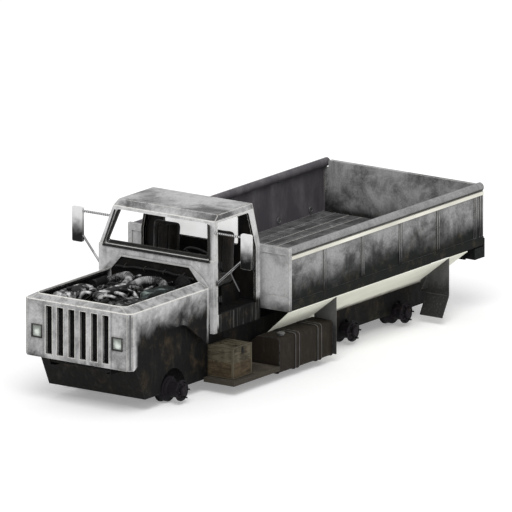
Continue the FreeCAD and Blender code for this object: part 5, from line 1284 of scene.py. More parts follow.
@dataclass
class EngineBay:
    """Engine, radiator and fittings, seen through the open bonnet."""

    lead_radius: float = 0.0045
    runner_radius: float = 0.021
    runner_count: int = 4
    alloy: Finish = CastMetal("engine_alloy", "engine_alloy", base=grey(20), pale=grey(238), pale_share=0.52,
                              tint_share=0.1,
                              scale=5.5, metallic=0.0, rough_low=0.5, softness=0.2)
    chalky: Finish = CastMetal("chalky_casting", "engine_alloy", base=grey(24), pale=grey(206),
                               pale_share=0.52, softness=0.22,
                               tint=tone(80, 94, 90), tint_share=0.25, scale=5.0, metallic=0.0, rough_low=0.5)
    teal: Finish = CastMetal("teal_casting", "fittings", base=tone(16, 20, 20), pale=tone(150, 164, 160),
                             softness=0.24,
                             tint=tone(62, 82, 78), pale_share=0.42, tint_share=0.4, scale=5.0, metallic=0.0,
                             rough_low=0.5)

    def build(self) -> None:
        """Dresses the engine's nodes and adds intake, tanks, hoses, leads and pipes."""
        CastMetal("engine_iron", "engine_iron", base=grey(15), pale=grey(120), pale_share=0.2,
                  tint_share=0.2, metallic=0.1, rough_low=0.5).dress("engine_block")
        self.alloy.dress("engine_top")
        CastMetal("engine_fitting_metal", "fittings", base=grey(20), pale=grey(120), pale_share=0.25,
                  metallic=0.1, rough_low=0.5).dress("engine_fittings")
        DarkSteel("radiator_metal", "radiator", base=grey(12), mud=grey(80, 4), mud_share=0.25,
                  low_top=0.0).dress("radiator")
        self.intake()
        self.side_tanks()
        self.hoses()
        self.leads()
        self.firewall_pipes()
        self.drives()

    def intake(self) -> None:
        """Plenum over the vee with a curved runner down to each cylinder."""
        low, high = corners_of("engine_top")
        length = (high[1] - low[1]) / 2
        middle = (low[1] + high[1]) / 2
        crest = high[2] + 0.055
        plenum = ribbed_block([0.0, middle + 0.02, crest], [0.085, length * 0.94, 0.042], 16, 0.05)
        make_piece("intake_plenum", plenum, self.alloy)
        runners = []
        for i in range(self.runner_count):
            y = low[1] + (0.13 + 0.247 * i) * 2 * length
            path = curve_through([[0.05, y, crest], [0.15, y + 0.01, crest + 0.022],
                                  [0.26, y + 0.03, crest - 0.01],
                                  [0.34, y + 0.045, high[2] - 0.075], [0.36, y + 0.05, high[2] - 0.16]], 30)
            swell = self.runner_radius * (1 + 0.35 * np.exp(-((np.linspace(0, 1, 30) - 0.5) / 0.06) ** 2))
            runners.append(tube(path, swell, 12))
        make_piece("intake_runners", together(runners).both(), self.alloy)

    def side_tanks(self) -> None:
        """Ribbed coolant tank, two air boxes, their caps and the tank's clamps."""
        low, high = corners_of("bonnet_rim")
        top = high[2]
        tank = ribbed_block([0.49, low[1] + 0.47, top - 0.095], [0.15, 0.21, 0.075], 9, 0.05)
        box = ribbed_block([0.51, low[1] + 1.05, top - 0.075], [0.13, 0.27, 0.085], 12, 0.03)
        far_box = ribbed_block([-0.50, low[1] + 0.62, top - 0.105], [0.12, 0.33, 0.07], 15, 0.06)
        make_piece("coolant_tank", tank, self.chalky)
        make_piece("air_box", box, self.teal)
        make_piece("far_air_box", far_box, self.alloy)
        caps = []
        for x, y in ((0.46, low[1] + 0.40), (0.52, low[1] + 0.92), (-0.48, low[1] + 0.50)):
            caps.append(turned([[0, 0.03], [0.012, 0.034], [0.03, 0.034], [0.036, 0.028]],
                               [x, y, top - 0.03], (0, 0, 1), 16))
        make_piece("filler_caps", together(caps), DARK_FITTING)
        straps = []
        for y in (low[1] + 0.36, low[1] + 0.58):
            t = np.linspace(0, np.pi, 24)
            arc = np.stack([0.49 + 0.158 * np.cos(t), np.full(24, y), top - 0.10 + 0.084 * np.sin(t) ** 0.5],
                           axis=1)
            straps.append(tube(arc, 0.006, 6))
        make_piece("tank_clamps", together(straps), DARK_FITTING)

    def hoses(self) -> None:
        """Radiator hoses and the ribbed air ducts to the intake."""
        radiator_high = corners_of("radiator")[1]
        engine_high = corners_of("engine_top")[1]
        top = radiator_high[2]
        start_y = radiator_high[1]
        upper = curve_through([[0.22, start_y - 0.06, top - 0.05], [0.22, start_y + 0.04, top - 0.03],
                               [0.19, start_y + 0.16, top - 0.04], [0.10, start_y + 0.30, top - 0.08]], 48)
        lower = curve_through([[-0.34, start_y - 0.06, 0.84], [-0.36, start_y + 0.06, 0.84],
                               [-0.30, start_y + 0.20, 0.88], [-0.20, start_y + 0.30, 0.94]], 40)
        make_piece("radiator_hoses", tube(upper, 0.030, 14).joined(tube(lower, 0.028, 14)), DARK_RUBBER)
        ducts = []
        for side, reach in ((1, 0.42), (-1, 0.46)):
            path = curve_through([[0.05 * side, engine_high[1] - 0.02, engine_high[2] + 0.05],
                                  [0.10 * side, engine_high[1] + 0.16, engine_high[2] + 0.10],
                                  [0.26 * side, engine_high[1] + 0.30, engine_high[2] + 0.09],
                                  [reach * side, engine_high[1] + 0.22, engine_high[2] + 0.02]], 150)
            ribs = 0.048 + 0.006 * np.cos(np.linspace(0, 2 * np.pi * 30, 150))
            ducts.append(tube(path, ribs, 18))
        make_piece("air_ducts", together(ducts), self.chalky)

    def leads(self) -> None:
        """Spark leads from a cap at the rear of the vee to each cylinder."""
        low, high = corners_of("engine_top")
        cap = np.array([0.0, high[1] + 0.10, high[2] - 0.04])
        body = turned([[0, 0.03], [0.02, 0.055], [0.07, 0.06], [0.09, 0.045], [0.10, 0.02]],
                      cap - [0, 0, 0.06],
                      (0, 0, 1), 20)
        make_piece("spark_cap", body, DARK_RUBBER)
        leads = []
        for i in range(self.runner_count):
            y = low[1] + 0.12 + i * 0.19
            rise = 0.05 + 0.012 * i
            leads.append(tube(curve_through([cap + [0.03, 0, 0.03], cap + [0.10, -0.05, rise],
                                             [0.20, (cap[1] + y) / 2, high[2] + 0.03 + rise * 0.4],
                                             [0.33, y, high[2] - 0.10]], 36), self.lead_radius, 8))
        make_piece("spark_leads", together(leads).both(), DARK_RUBBER)

    def firewall_pipes(self) -> None:
        """Pipes, a cable loom with clips and the brake servo on the firewall."""
        face = corners_of("firewall")[0][1]
        pipes = []
        for x, z in ((-0.34, 1.34), (-0.22, 1.38), (0.26, 1.36)):
            pipes.append(tube(curve_through([[x, face - 0.005, z], [x, face - 0.10, z + 0.01],
                                             [x * 0.9, face - 0.30, z + 0.02],
                                             [x * 0.7, face - 0.62, z - 0.02]], 36),
                              0.014, 10))
        make_piece("heater_pipes", together(pipes), self.alloy)
        t = np.linspace(0, 1, 90)
        loom = np.stack([-0.6 + 1.2 * t, face - 0.022 + 0.004 * np.sin(40 * t),
                         1.455 + 0.03 * np.sin(np.pi * t) + 0.004 * np.sin(31 * t)], axis=1)
        clips = [tube(cornered_path([[x - 0.008, face, 1.44], [x - 0.008, face - 0.04, 1.46],
                                     [x + 0.008, face - 0.04, 1.50], [x + 0.008, face, 1.51]], 0.012), 0.004,
                                     6)
                 for x in (-0.45, -0.15, 0.15, 0.45)]
        make_piece("cable_loom", tube(loom, 0.015, 10).joined(*clips), DARK_RUBBER)
        servo = turned([[0, 0.10], [0.012, 0.125], [0.03, 0.125], [0.05, 0.12], [0.075, 0.085], [0.09, 0.04],
                        [0.10, 0.026], [0.24, 0.022]], [0.46, face - 0.002, 1.36], (0, -1, 0), 28)
        make_piece("brake_servo", servo, DARK_FITTING)

    def drives(self) -> None:
        """Generator with its pulley and the two belts at the engine's front."""
        low, high = corners_of("engine_top")
        centre = np.array([0.34, low[1] + 0.02, high[2] - 0.07])
        profile = [[-0.10, 0.02], [-0.10, 0.045], [-0.085, 0.05], [-0.075, 0.038], [-0.065, 0.05],
                   [-0.05, 0.05],
                   [-0.045, 0.03], [-0.03, 0.066], [0.02, 0.07], [0.09, 0.07], [0.12, 0.055], [0.125, 0.02]]
        generator = turned(profile, centre, (0, 1, 0), 26)
        make_piece("generator", generator, self.alloy)
        belts = []
        for shift in (0.0, 0.018):
            y = centre[1] - 0.075 - shift
            loop = cornered_path([[centre[0] + 0.03, y, centre[2] + 0.04],
                                  [centre[0] - 0.02, y, centre[2] + 0.055],
                                  [-0.08, y, 0.76], [0.0, y, 0.62], [0.09, y, 0.64]], 0.05, closed=True)
            belts.append(tube(loop, 0.006, 6, closed=True))
        make_piece("fan_belts", together(belts), DARK_RUBBER)


# Cab

@dataclass
class Cab:
    """Cab shell, its inside, seats and mirrors."""

    centre: tuple[float, float, float] = (0.0, -1.37, 1.35)
    swell_cap: float = 0.024
    screen_height: float = 0.457
    side_rise: float = 0.46
    eaves_half_width: float = 0.785
    tunnel_top: float = 1.15
    seat_inner: float = 0.185
    padding: float = 0.55

    def build(self) -> None:
        """Dresses the cab's nodes and adds trim."""
        side_low = corners_of("cab_side_left")[0]
        paint = NoseSidePaint("cab_paint", "cab_paint", light=grey(216), dull=grey(160), grime=grey(15),
                              grime_top=1.05, grime_blur=0.1, grime_soft=0.05, light_share=0.6,
                              edge_width=0.014,
                              streaks=0.35, shell_centre=self.centre, inside=tone(11, 10, 10),
                              inside_patch=tone(34, 30, 26), shift=5.0,
                              front_strip=(side_low[1] + 0.04, side_low[1] + 0.06), front_foot=0.80)
        roof = WornPaint("roof_paint", "cab_paint", light=grey(194), dull=grey(92), grime=grey(60),
                         light_share=0.5, edge_width=0.02, edge_colour=grey(232, 3), edge_strength=1.0,
                         patch_scale=1.5, shell_centre=self.centre, inside=tone(18, 17, 16),
                         inside_patch=tone(48, 44, 40), shift=21.0)
        paint.dress("cab_side_left", "cab_side_right", "cab_rear_wall")
        roof.dress("cab_roof")
        DarkSteel("cab_floor_paint", "cab_floor_paint", base=grey(12), mud=tone(56, 47, 38),
                  mud_share=0.3).dress("cab_floor")
        Rubber("dash_plastic", "dash_plastic", base=grey(12), faded=grey(34), top=1.8,
               bottom=1.2).dress("dashboard", "steering_wheel")
        front = WornPaint("windscreen_frame_paint", "cab_paint", light=grey(218), dull=grey(166),
                          grime=grey(30),
                          grime_top=0.74, grime_blur=0.1, light_share=0.6, edge_width=0.014,
                          shell_centre=self.centre, inside=tone(15, 14, 13), inside_patch=tone(44, 38, 33),
                          shift=5.0)
        front.dress("windscreen_frame")
        PaneGlass("rear_pane_glass", "pane_glass").dress("rear_glass")
        high = corners_of("mirrors")[1]
        # Mirror cases with a painted reflection that turns from black to white 0.22 m below their top.
        MirrorCase("mirror_case_plastic", "mirror_plastic", middle=high[2] - 0.22).dress("mirrors")
        self.seats()
        self.rubber_strips()
        self.windscreen_rubber()
        self.door_trim()
        self.controls()
        self.mirror_arms()

    def screen_path(self, inset: float, depth: float) -> Points:
        """Rounded path down one side of the windscreen opening, along its foot and up the other side.

        Args:
            inset: Distance in from the opening's edge.
            depth: Distance behind the cab's front face.

        Returns:
            The path's points.
        """
        low, high = corners_of("windscreen_frame")
        belt, top = high[2] - self.screen_height, high[2] - 0.04
        foot_x, head_x = high[0] - 0.08 - inset, high[0] - 0.177 - inset
        foot_y, head_y = low[1] + 0.026 + depth, low[1] + 0.154 + depth
        corners = [[-head_x, head_y, top], [-foot_x, foot_y, belt + inset], [foot_x, foot_y, belt + inset],
                   [head_x, head_y, top]]
        return cornered_path(corners, 0.04)

    def windscreen_rubber(self) -> None:
        """Two dark rubber strips round the empty windscreen opening, with a grey channel between them."""
        outer = tube(self.screen_path(0.006, 0.012), 0.011, 8)
        inner = tube(self.screen_path(0.040, 0.020), 0.008, 8)
        make_piece("windscreen_rubber", outer.joined(inner), DARK_RUBBER)
        make_piece("windscreen_channel", tube(self.screen_path(0.024, 0.017), 0.010, 8), SOOT_AND_SHADE)
        faces = [bar_along(plate(width, 0.006), self.face_point(x0, z0), self.face_point(x1, z1), across)
                 for width, x0, z0, x1, z1, across in (
                     (0.034, -0.826, -0.02, 0.826, -0.02, (0, 0.29, 0.957)),
                     (0.022, 0.824, -0.03, 0.727, 0.42, (1, 0, 0)),
                     (0.022, -0.824, -0.03, -0.727, 0.42, (1, 0, 0)))]
        make_piece("windscreen_surround", together(faces), DARK_RUBBER, smooth=False)

    def face_point(self, x: float, rise: float) -> list[float]:
        """Point on the leaning front face of the windscreen frame, a rise above the opening's foot."""
        low, high = corners_of("windscreen_frame")
        return [x, low[1] - 0.002 + 0.304 * max(rise, 0.0), high[2] - self.screen_height + rise]

    def side_point(self, y: float, z: float, proud: float) -> list[float]:
        """Point on the cab's left side: upright below the belt and leaning in above it."""
        high = corners_of("cab_side_left")[1]
        belt = high[2] - self.side_rise
        lean = (high[0] - self.eaves_half_width) / self.side_rise
        return [high[0] - lean * max(z - belt, 0.0) + proud, y, z]

    def door_trim(self) -> None:
        """Door hinges, the lock striker, the sill's tread strip and the check strap across the doorway."""
        low, high = corners_of("cab_side_left")
        pins = []
        for z in (1.16, 1.60):
            knuckle = [[0, 0.009], [0.002, 0.012], [0.036, 0.012], [0.038, 0.009], [0.042, 0.009],
                       [0.044, 0.012],
                       [0.078, 0.012], [0.08, 0.009]]
            pins.append(turned(knuckle, [high[0] + 0.008, low[1] + 0.075, z], (0, 0, 1), 12))
            pins.append(bar_along(plate(0.06, 0.004), [high[0] + 0.002, low[1] + 0.045, z + 0.005],
                                  [high[0] + 0.002, low[1] + 0.045, z + 0.075], (0, 1, 0)))
        striker = soft_block([high[0] - 0.018, high[1] - 0.096, 1.44], [0.014, 0.006, 0.035], 0.3, 12)
        hinges = together([*pins, striker])
        make_piece("door_hinges", hinges.both(), SOOT_AND_SHADE)
        tread = bar_along(plate(0.03, 0.003), [high[0] - 0.017, low[1] + 0.09, FLOOR_TOP + 0.0015],
                          [high[0] - 0.017, high[1] - 0.10, FLOOR_TOP + 0.0015], (1, 0, 0))
        make_piece("sill_treads", tread.both(), SOOT_AND_SHADE, smooth=False)
        strap = curve_through([self.side_point(-1.44, 1.47, -0.05), self.side_point(-1.37, 1.37, -0.055),
                               self.side_point(-1.29, 1.25, -0.05), self.side_point(-1.235, 1.19, -0.06)], 24)
        make_piece("door_check_straps", tube(strap, 0.011, 8, flat=0.35).both(), GROOVE)

    def controls(self) -> None:
        """Gauges on the hood, pedals, gear levers with gaiters and knobs."""
        low, high = corners_of("dashboard")
        face = high[1] - 0.395
        gauges = []
        for x, radius in ((0.31, 0.042), (0.405, 0.05), (0.50, 0.042)):
            gauges.append(turned([[0.0, radius], [0.008, radius], [0.011, radius * 0.94],
                                  [0.006, radius * 0.86],
                                  [0.003, 0.006]], [x, low[1] + 0.205, 1.605], (0, 0.974, -0.227), 24))
        make_piece("gauge_rims", together(gauges), PALE_STEEL)
        pedals = []
        for x, y in ((0.29, face), (0.40, face), (0.51, face - 0.02)):
            pedals.append(soft_block([x, low[1] + 0.26, 1.12], [0.032, 0.012, 0.045], 0.3, 12))
            pedals.append(tube(curve_through([[x, low[1] + 0.25, 1.13], [x, low[1] + 0.21, 1.25],
                                              [x, low[1] + 0.12, 1.40], [x, low[1] + 0.08, 1.52]], 20), 0.009,
                                              8))
        make_piece("pedals", together(pedals), DARK_FITTING)
        tunnel = self.tunnel_top
        levers = []
        knobs = []
        for x, y, reach in ((0.03, -1.44, 0.46), (-0.08, -1.36, 0.28)):
            path = curve_through([[x, y, tunnel - 0.02], [x + 0.01, y + 0.01, tunnel + reach * 0.4],
                                  [x + 0.06, y + 0.10, tunnel + reach]], 30)
            levers.append(tube(path, 0.009, 8))
            steps = np.linspace(0, 1, 22)
            gaiter = np.stack([0.10 * steps - 0.03, 0.065 * (1 - steps) ** 0.7 + 0.014
                               + 0.004 * np.cos(steps * 12 * np.pi)], axis=1)
            knobs.append(turned(gaiter, [x, y, tunnel], (0, 0, 1), 18))
            knobs.append(soft_block(path[-1] + [0, 0, 0.012], [0.024, 0.024, 0.026], 0.9, 14))
        make_piece("gear_levers", together(levers), BARE_STEEL)
        make_piece("lever_knobs", together(knobs), DARK_RUBBER)

    def mirror_arms(self) -> None:
        """Coiled sleeves on the upper arms, clad lower arms and the mirrors' glass faces."""
        low, high = corners_of("mirrors")
        y = high[1] - 0.017
        inner_x = high[0] - 0.162
        z = high[2] - 0.05
        start = self.side_point(y, z, 0.004)
        count = 260
        t = np.linspace(0, 1, count)
        path = np.stack([start[0] + (inner_x - start[0]) * t, np.full(count, y), np.full(count, z)], axis=1)
        coil = 0.011 + 0.007 * np.cos(2 * np.pi * 14 * t)
        make_piece("mirror_arm_coils", tube(path, coil, 12).both(), BARE_STEEL)
        foot = np.array([0.894, low[1] + 0.020, 1.4155])
        head = np.array([inner_x + 0.004, y - 0.002, 1.735])
        lower = np.stack([foot + (head - foot) * s for s in (0.02, 0.5, 0.985)])
        make_piece("mirror_lower_arms", tube(lower, 0.0145, 14).both(), PALE_STEEL)
        offset = np.array([0.0, -0.0125, -0.006])
        make_piece("mirror_arm_lines", tube(lower + offset, 0.005, 6).both(), SOOT_AND_SHADE)
        middle = np.array([high[0] - 0.081, high[1] + 0.0005, (high[2] + 1.643) / 2])
        u = np.linspace(-1, 1, 21)[:, None]
        v = np.linspace(-1, 1, 41)[None, :]
        face = np.stack([0.066 * u + 0 * v, 0.002 * (1 - u ** 2) * (1 - v ** 2), 0.212 * v + 0 * u], axis=2)
        glass = Shell(face.reshape(-1, 3) + middle, grid_faces(21, 41, False, False))
        make_piece("mirror_glasses", glass.both(), MirrorGlass("mirror_glass_face", "mirror_plastic"))

    def seats(self) -> None:
        """Four crowned cushions with sewn channels."""
        low, high = corners_of("seats")
        cloth = Cloth("seat_cloth", "seat_cloth", base=tone(22, 20, 18), dusty=tone(50, 44, 38))
        inner = self.seat_inner
        width = (high[0] - inner) / 2
        x = (high[0] + inner) / 2
        cushion_top = low[2] + 0.12
        depth = (high[1] - 0.035 - low[1]) / 2
        base = self.cushion([width - 0.012, depth - 0.01, 0.052])
        base = Shell(base.points + np.array([x, low[1] + depth, low[2] + 0.060]), base.faces)
        back_half = (high[2] - cushion_top + 0.06) / 2
        back = self.cushion([width - 0.02, back_half - 0.01, 0.060])
        lean = math.atan2(0.035, 0.63)
        upright = back.points[:, [0, 2, 1]] * np.array([1.0, -1.0, 1.0])
        y = upright[:, 1] * math.cos(lean) + upright[:, 2] * math.sin(lean)
        z = upright[:, 2] * math.cos(lean) - upright[:, 1] * math.sin(lean)
        middle = np.array([x, high[1] - 0.075 - 0.0175, high[2] - back_half])
        back = Shell(np.stack([upright[:, 0], y, z], axis=1) + middle, back.faces)
        for part, shell, through in (("cushion", base, 2), ("back", back, 1)):
            full = self.sewn(swollen(shell, self.swell_cap), through, width)
            limits = (np.array([inner, low[1], low[2]]), high)
            full = Shell(np.clip(full.points, *limits), full.faces)
            for label, one in (("left", full), ("right", full.mirrored())):
                make_piece(f"seat_{part}_{label}", one, cloth, weld=True)
        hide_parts("seats")

    def cushion(self, half: Sequence[float]) -> Shell:
        """Cushion before it swells: a rounded block about the origin, thicker in the middle than at its rim.

        Args:
            half: Half sizes across, along and through it.

        Returns:
            The shell.
        """
        n = 96
        rise = np.linspace(-np.pi / 2, np.pi / 2, n)[1:-1, None]
        turn = np.linspace(0, 2 * np.pi, 2 * n, endpoint=False)[None, :]

        ring = np.abs(np.cos(rise)) ** 0.22
        u = ring * powered(np.cos(turn), 0.3)
        v = ring * powered(np.sin(turn), 0.3)
        w = powered(np.sin(rise), 0.55) * np.ones_like(turn)
        crown = 0.8 + 0.2 * (1 - u ** 2) * (1 - v ** 2)
        waist = 1 - 0.03 * (1 - u ** 4) * v ** 4
        side_waist = 1 - 0.03 * (1 - v ** 4) * u ** 4
        points = np.stack([half[0] * u * side_waist, half[1] * v * waist, half[2] * w * crown], axis=2)
        return rings_shell(points)

    def sewn(self, shell: Shell, through: int, width: float) -> Shell:
        """Sews two channels and a border seam: each is a narrow bell-shaped dip towards the cushion's middle.

        Args:
            shell: The swollen cushion.
            through: The axis through its thickness, 0 to 2.
            width: Half its width.

        Returns:
            The sewn shell.
        """
        points = shell.points.copy()
        low, high = points.min(axis=0), points.max(axis=0)
        middle, half = (low + high) / 2, (high - low) / 2
        across = (points[:, 0] - middle[0]) / width
        dip = sum(np.exp(-((across - place) / 0.03) ** 2) for place in (-1 / 3, 1 / 3))
        side = np.clip((points[:, through] - middle[through]) / half[through], -1, 1)
        border = np.exp(-((np.abs(across) - 0.9) / 0.03) ** 2)
        points[:, through] -= (0.011 * dip + 0.005 * border) * side
        return Shell(points, shell.faces)

    def rubber_strips(self) -> None:
        """Black rubber on both faces of the rear pane's edge."""
        low, high = corners_of("rear_glass")
        loop = cornered_path([[low[0], low[1] - 0.004, low[2]], [high[0], low[1] - 0.004, low[2]],
                              [high[0], low[1] - 0.004, high[2]], [low[0], low[1] - 0.004, high[2]]], 0.03,
                             closed=True)
        outer = loop + np.array([0.0, 0.014, 0.0])
        make_piece("rear_pane_rubber", tube(loop, 0.007, 8,
                                            closed=True).joined(tube(outer, 0.007, 8, closed=True)),
                   DARK_RUBBER)


# Cargo bed

@dataclass
class CargoBed:
    """Bed sides, headboard, floor, tailgate and rear lamps."""

    def build(self) -> None:
        """Dresses the bed's nodes and adds its small parts."""
        low, high = corners_of("bed_side_left")
        centre = (0.0, float(low[1] + high[1]) / 2, float(high[2]))
        side = WornPaint("bed_side_paint", "bed_paint", light=grey(172), dull=grey(82),
                         grime=tone(22, 25, 23),
                         grime_top=1.24, grime_blur=0.26, grime_soft=0.22, patch_scale=2.4, light_share=0.45,
                         solid_below=1.0, shaded_band=(1.58, 1.63), lit_band=(1.34, 1.58),
                         shell_centre=centre, inside=tone(84, 81, 86), inside_patch=tone(120, 116, 120),
                         edge_colour=tone(206, 204, 194), edge_strength=0.6, run_strength=0.35,
                         pale_from=1.582, pale=grey(138), shift=9.0)
        board = WornPaint("headboard_paint", "bed_paint", light=grey(204), dull=grey(158), grime=grey(36),
                          grime_top=0.98, grime_blur=0.24, grime_soft=0.16, light_share=0.6,
                          shell_centre=centre, inside=tone(84, 81, 86), inside_patch=tone(120, 116, 120),
                          shift=13.0)
        gate = WornPaint("tailgate_paint", "bed_paint", light=grey(176), dull=grey(96),
                         grime=tone(26, 28, 26),
                         grime_top=1.16, grime_blur=0.35, grime_soft=0.2, shift=17.0)
        side.dress("bed_side_left", "bed_side_right")
        board.dress("bed_headboard")
        gate.dress("tailgate")
        WornPaint("bed_floor_paint", "bed_floor_paint", light=grey(118), dull=grey(66), grime=grey(30),
                  run_strength=0.2, light_share=0.35, patch_scale=3.0, shift=19.0).dress("bed_floor")
        DarkSteel("sill_steel", "frame", mud_share=0.3).dress("bed_sills")
        CreamPanel("splash_paint", "splash_paint").dress("splash_panels")
        DarkSteel("lamp_box_steel", "lamp_box", base=tone(14, 17, 17), mud=tone(52, 56, 52), mud_share=0.3,
                  low_top=0.0).dress("rear_beam")
        self.rear_lamps()
        self.side_lines()
        self.floor_trim()
        self.gate_trim()

    def side_lines(self) -> None:
        """Cream strip of painted highlight along the ledge, and lines of painted highlight and painted shade
        along the ribs.
        """
        low, high = corners_of("bed_side_left")
        out, ledge = high[0], high[2] - 0.113
        outline = np.array([[out - 0.0015, ledge - 0.040], [out + 0.0005, ledge - 0.040],
                            [out + 0.0005, ledge + 0.003],
                            [out - 0.012, ledge + 0.003], [out - 0.012, ledge + 0.0012],
                            [out - 0.0015, ledge + 0.0012]])
        strip = bar_along(outline, [0, high[1] - 0.004, 0], [0, low[1] + 0.004, 0], (1, 0, 0))
        # Painted highlight: a cream strip along the ledge's edge, with the cream finish's faint glow.
        make_piece("ledge_highlight_strips", strip.both(),
                   CreamPanel("ledge_cream_highlight", "bed_paint", light=tone(240, 238, 226),
                                                             dull=tone(206, 204, 192), foot=0.0),
                                                             smooth=False)
        # Painted highlight and painted shade: light and dark lines along each rib stand in for how light
        # falls on it.
        light, dark = [], []
        for i in range(RIB_COUNT):
            y = min(low[1] - 0.05 + 0.79 + 0.84 * i, high[1] - 0.049)
            for shift in (-0.022, 0.020):
                light.append(tube([[out - 0.0035, y + shift, 1.03], [out - 0.0035, y + shift, ledge - 0.045]],
                                  0.0042, 6))
            for shift in (-0.034, 0.0, 0.034):
                dark.append(tube([[out - 0.0055, y + shift, 1.01], [out - 0.0055, y + shift, ledge - 0.03]],
                                 0.0042, 6))
        line = WornPaint("rib_highlight_line", "bed_paint", light=grey(200), dull=grey(120), grime=grey(40),
                         grime_top=1.16, grime_soft=0.2, grime_blur=0.3, edge_strength=0.0, shift=4.0)
        make_piece("rib_highlight_lines", together(light).both(), line)
        make_piece("rib_shade_lines", together(dark).both(), SOOT_AND_SHADE)

    def floor_trim(self) -> None:
        """Rub strips along the floor, a rubber bead at its rear end and lashing rings."""
        low, high = corners_of("bed_floor")
        end = high[1] - 0.068
        t = np.linspace(0, np.pi, 9)
        crown = np.stack([0.03 * np.cos(t), 0.005 * np.sin(t) ** 0.7], axis=1)
        strips = []
        for i in range(7):
            x = -0.96 + 0.32 * i
            strips.append(bar_along(crown * [1, -1], [x, low[1] + 0.02, FLOOR_TOP + 0.0002],
                                    [x, end - 0.03, FLOOR_TOP + 0.0002], (1, 0, 0)))
        make_piece("floor_strips", together(strips), BARE_STEEL)
        bead = np.stack([0.009 * np.cos(t), 0.014 * np.sin(t)], axis=1)
        make_piece("floor_end_bead", bar_along(bead, [-1.17, end, FLOOR_TOP], [1.17, end, FLOOR_TOP],
                                               (0, 1, 0)), DARK_RUBBER)
        angle = np.linspace(0, 2 * np.pi, 25)[:-1]
        ring = np.stack([0 * angle, 0.034 * np.cos(angle), 0.034 * np.sin(angle)], axis=1)
        rings = tube(ring, 0.006, 8, closed=True).copies(line_of([1.184, low[1] + 0.35, 1.075],
                                                                 [1.184, end - 0.3, 1.075], 6))
        make_piece("lashing_rings", rings.both(), BARE_STEEL)

    def gate_trim(self) -> None:
        """Latch levers on the bed's rear posts, and rivets along the tailgate's border."""
        high = corners_of("tailgate")[1]
        latch = tube(curve_through([[1.214, high[1] - 0.012, 1.50], [1.214, high[1] - 0.006, 1.46],
                                    [1.214, high[1] - 0.008, 1.38], [1.214, high[1] - 0.012, 1.33]], 24),
                                    0.010, 8)
        hinge = turned([[0, 0.020], [0.008, 0.022], [0.016, 0.018]], [1.214, high[1] - 0.016, 1.505],
                       (0, 1, 0), 16)
        make_piece("gate_latches", latch.joined(hinge).both(), DARK_FITTING)
        rivets = dome(0.009, 0.004, (0, 1, 0)).copies(line_of([-1.12, high[1] - 0.0005, 1.045],
                                                            [1.12, high[1] - 0.0005, 1.045], 22))
        make_piece("gate_rivets", rivets, PALE_STEEL, body="tailgate")

    def rear_lamps(self) -> None:
        """Two lenses on each lamp box."""
        low, high = corners_of("rear_beam")
        y = high[1] - 0.006
        z = (high[2] + low[2]) / 2 + 0.05
        for name, x, hue in (("stop", high[0] - 0.06, tone(140, 24, 18)),
                             ("turn", high[0] - 0.16, tone(176, 92, 20))):
            block = soft_block([x, y, z], [0.035, 0.006, 0.045], 0.25, 14)
            make_piece(name + "_lenses", block.both(), LampLens(name + "_lens", "lamp", hue=hue))


# Underbody

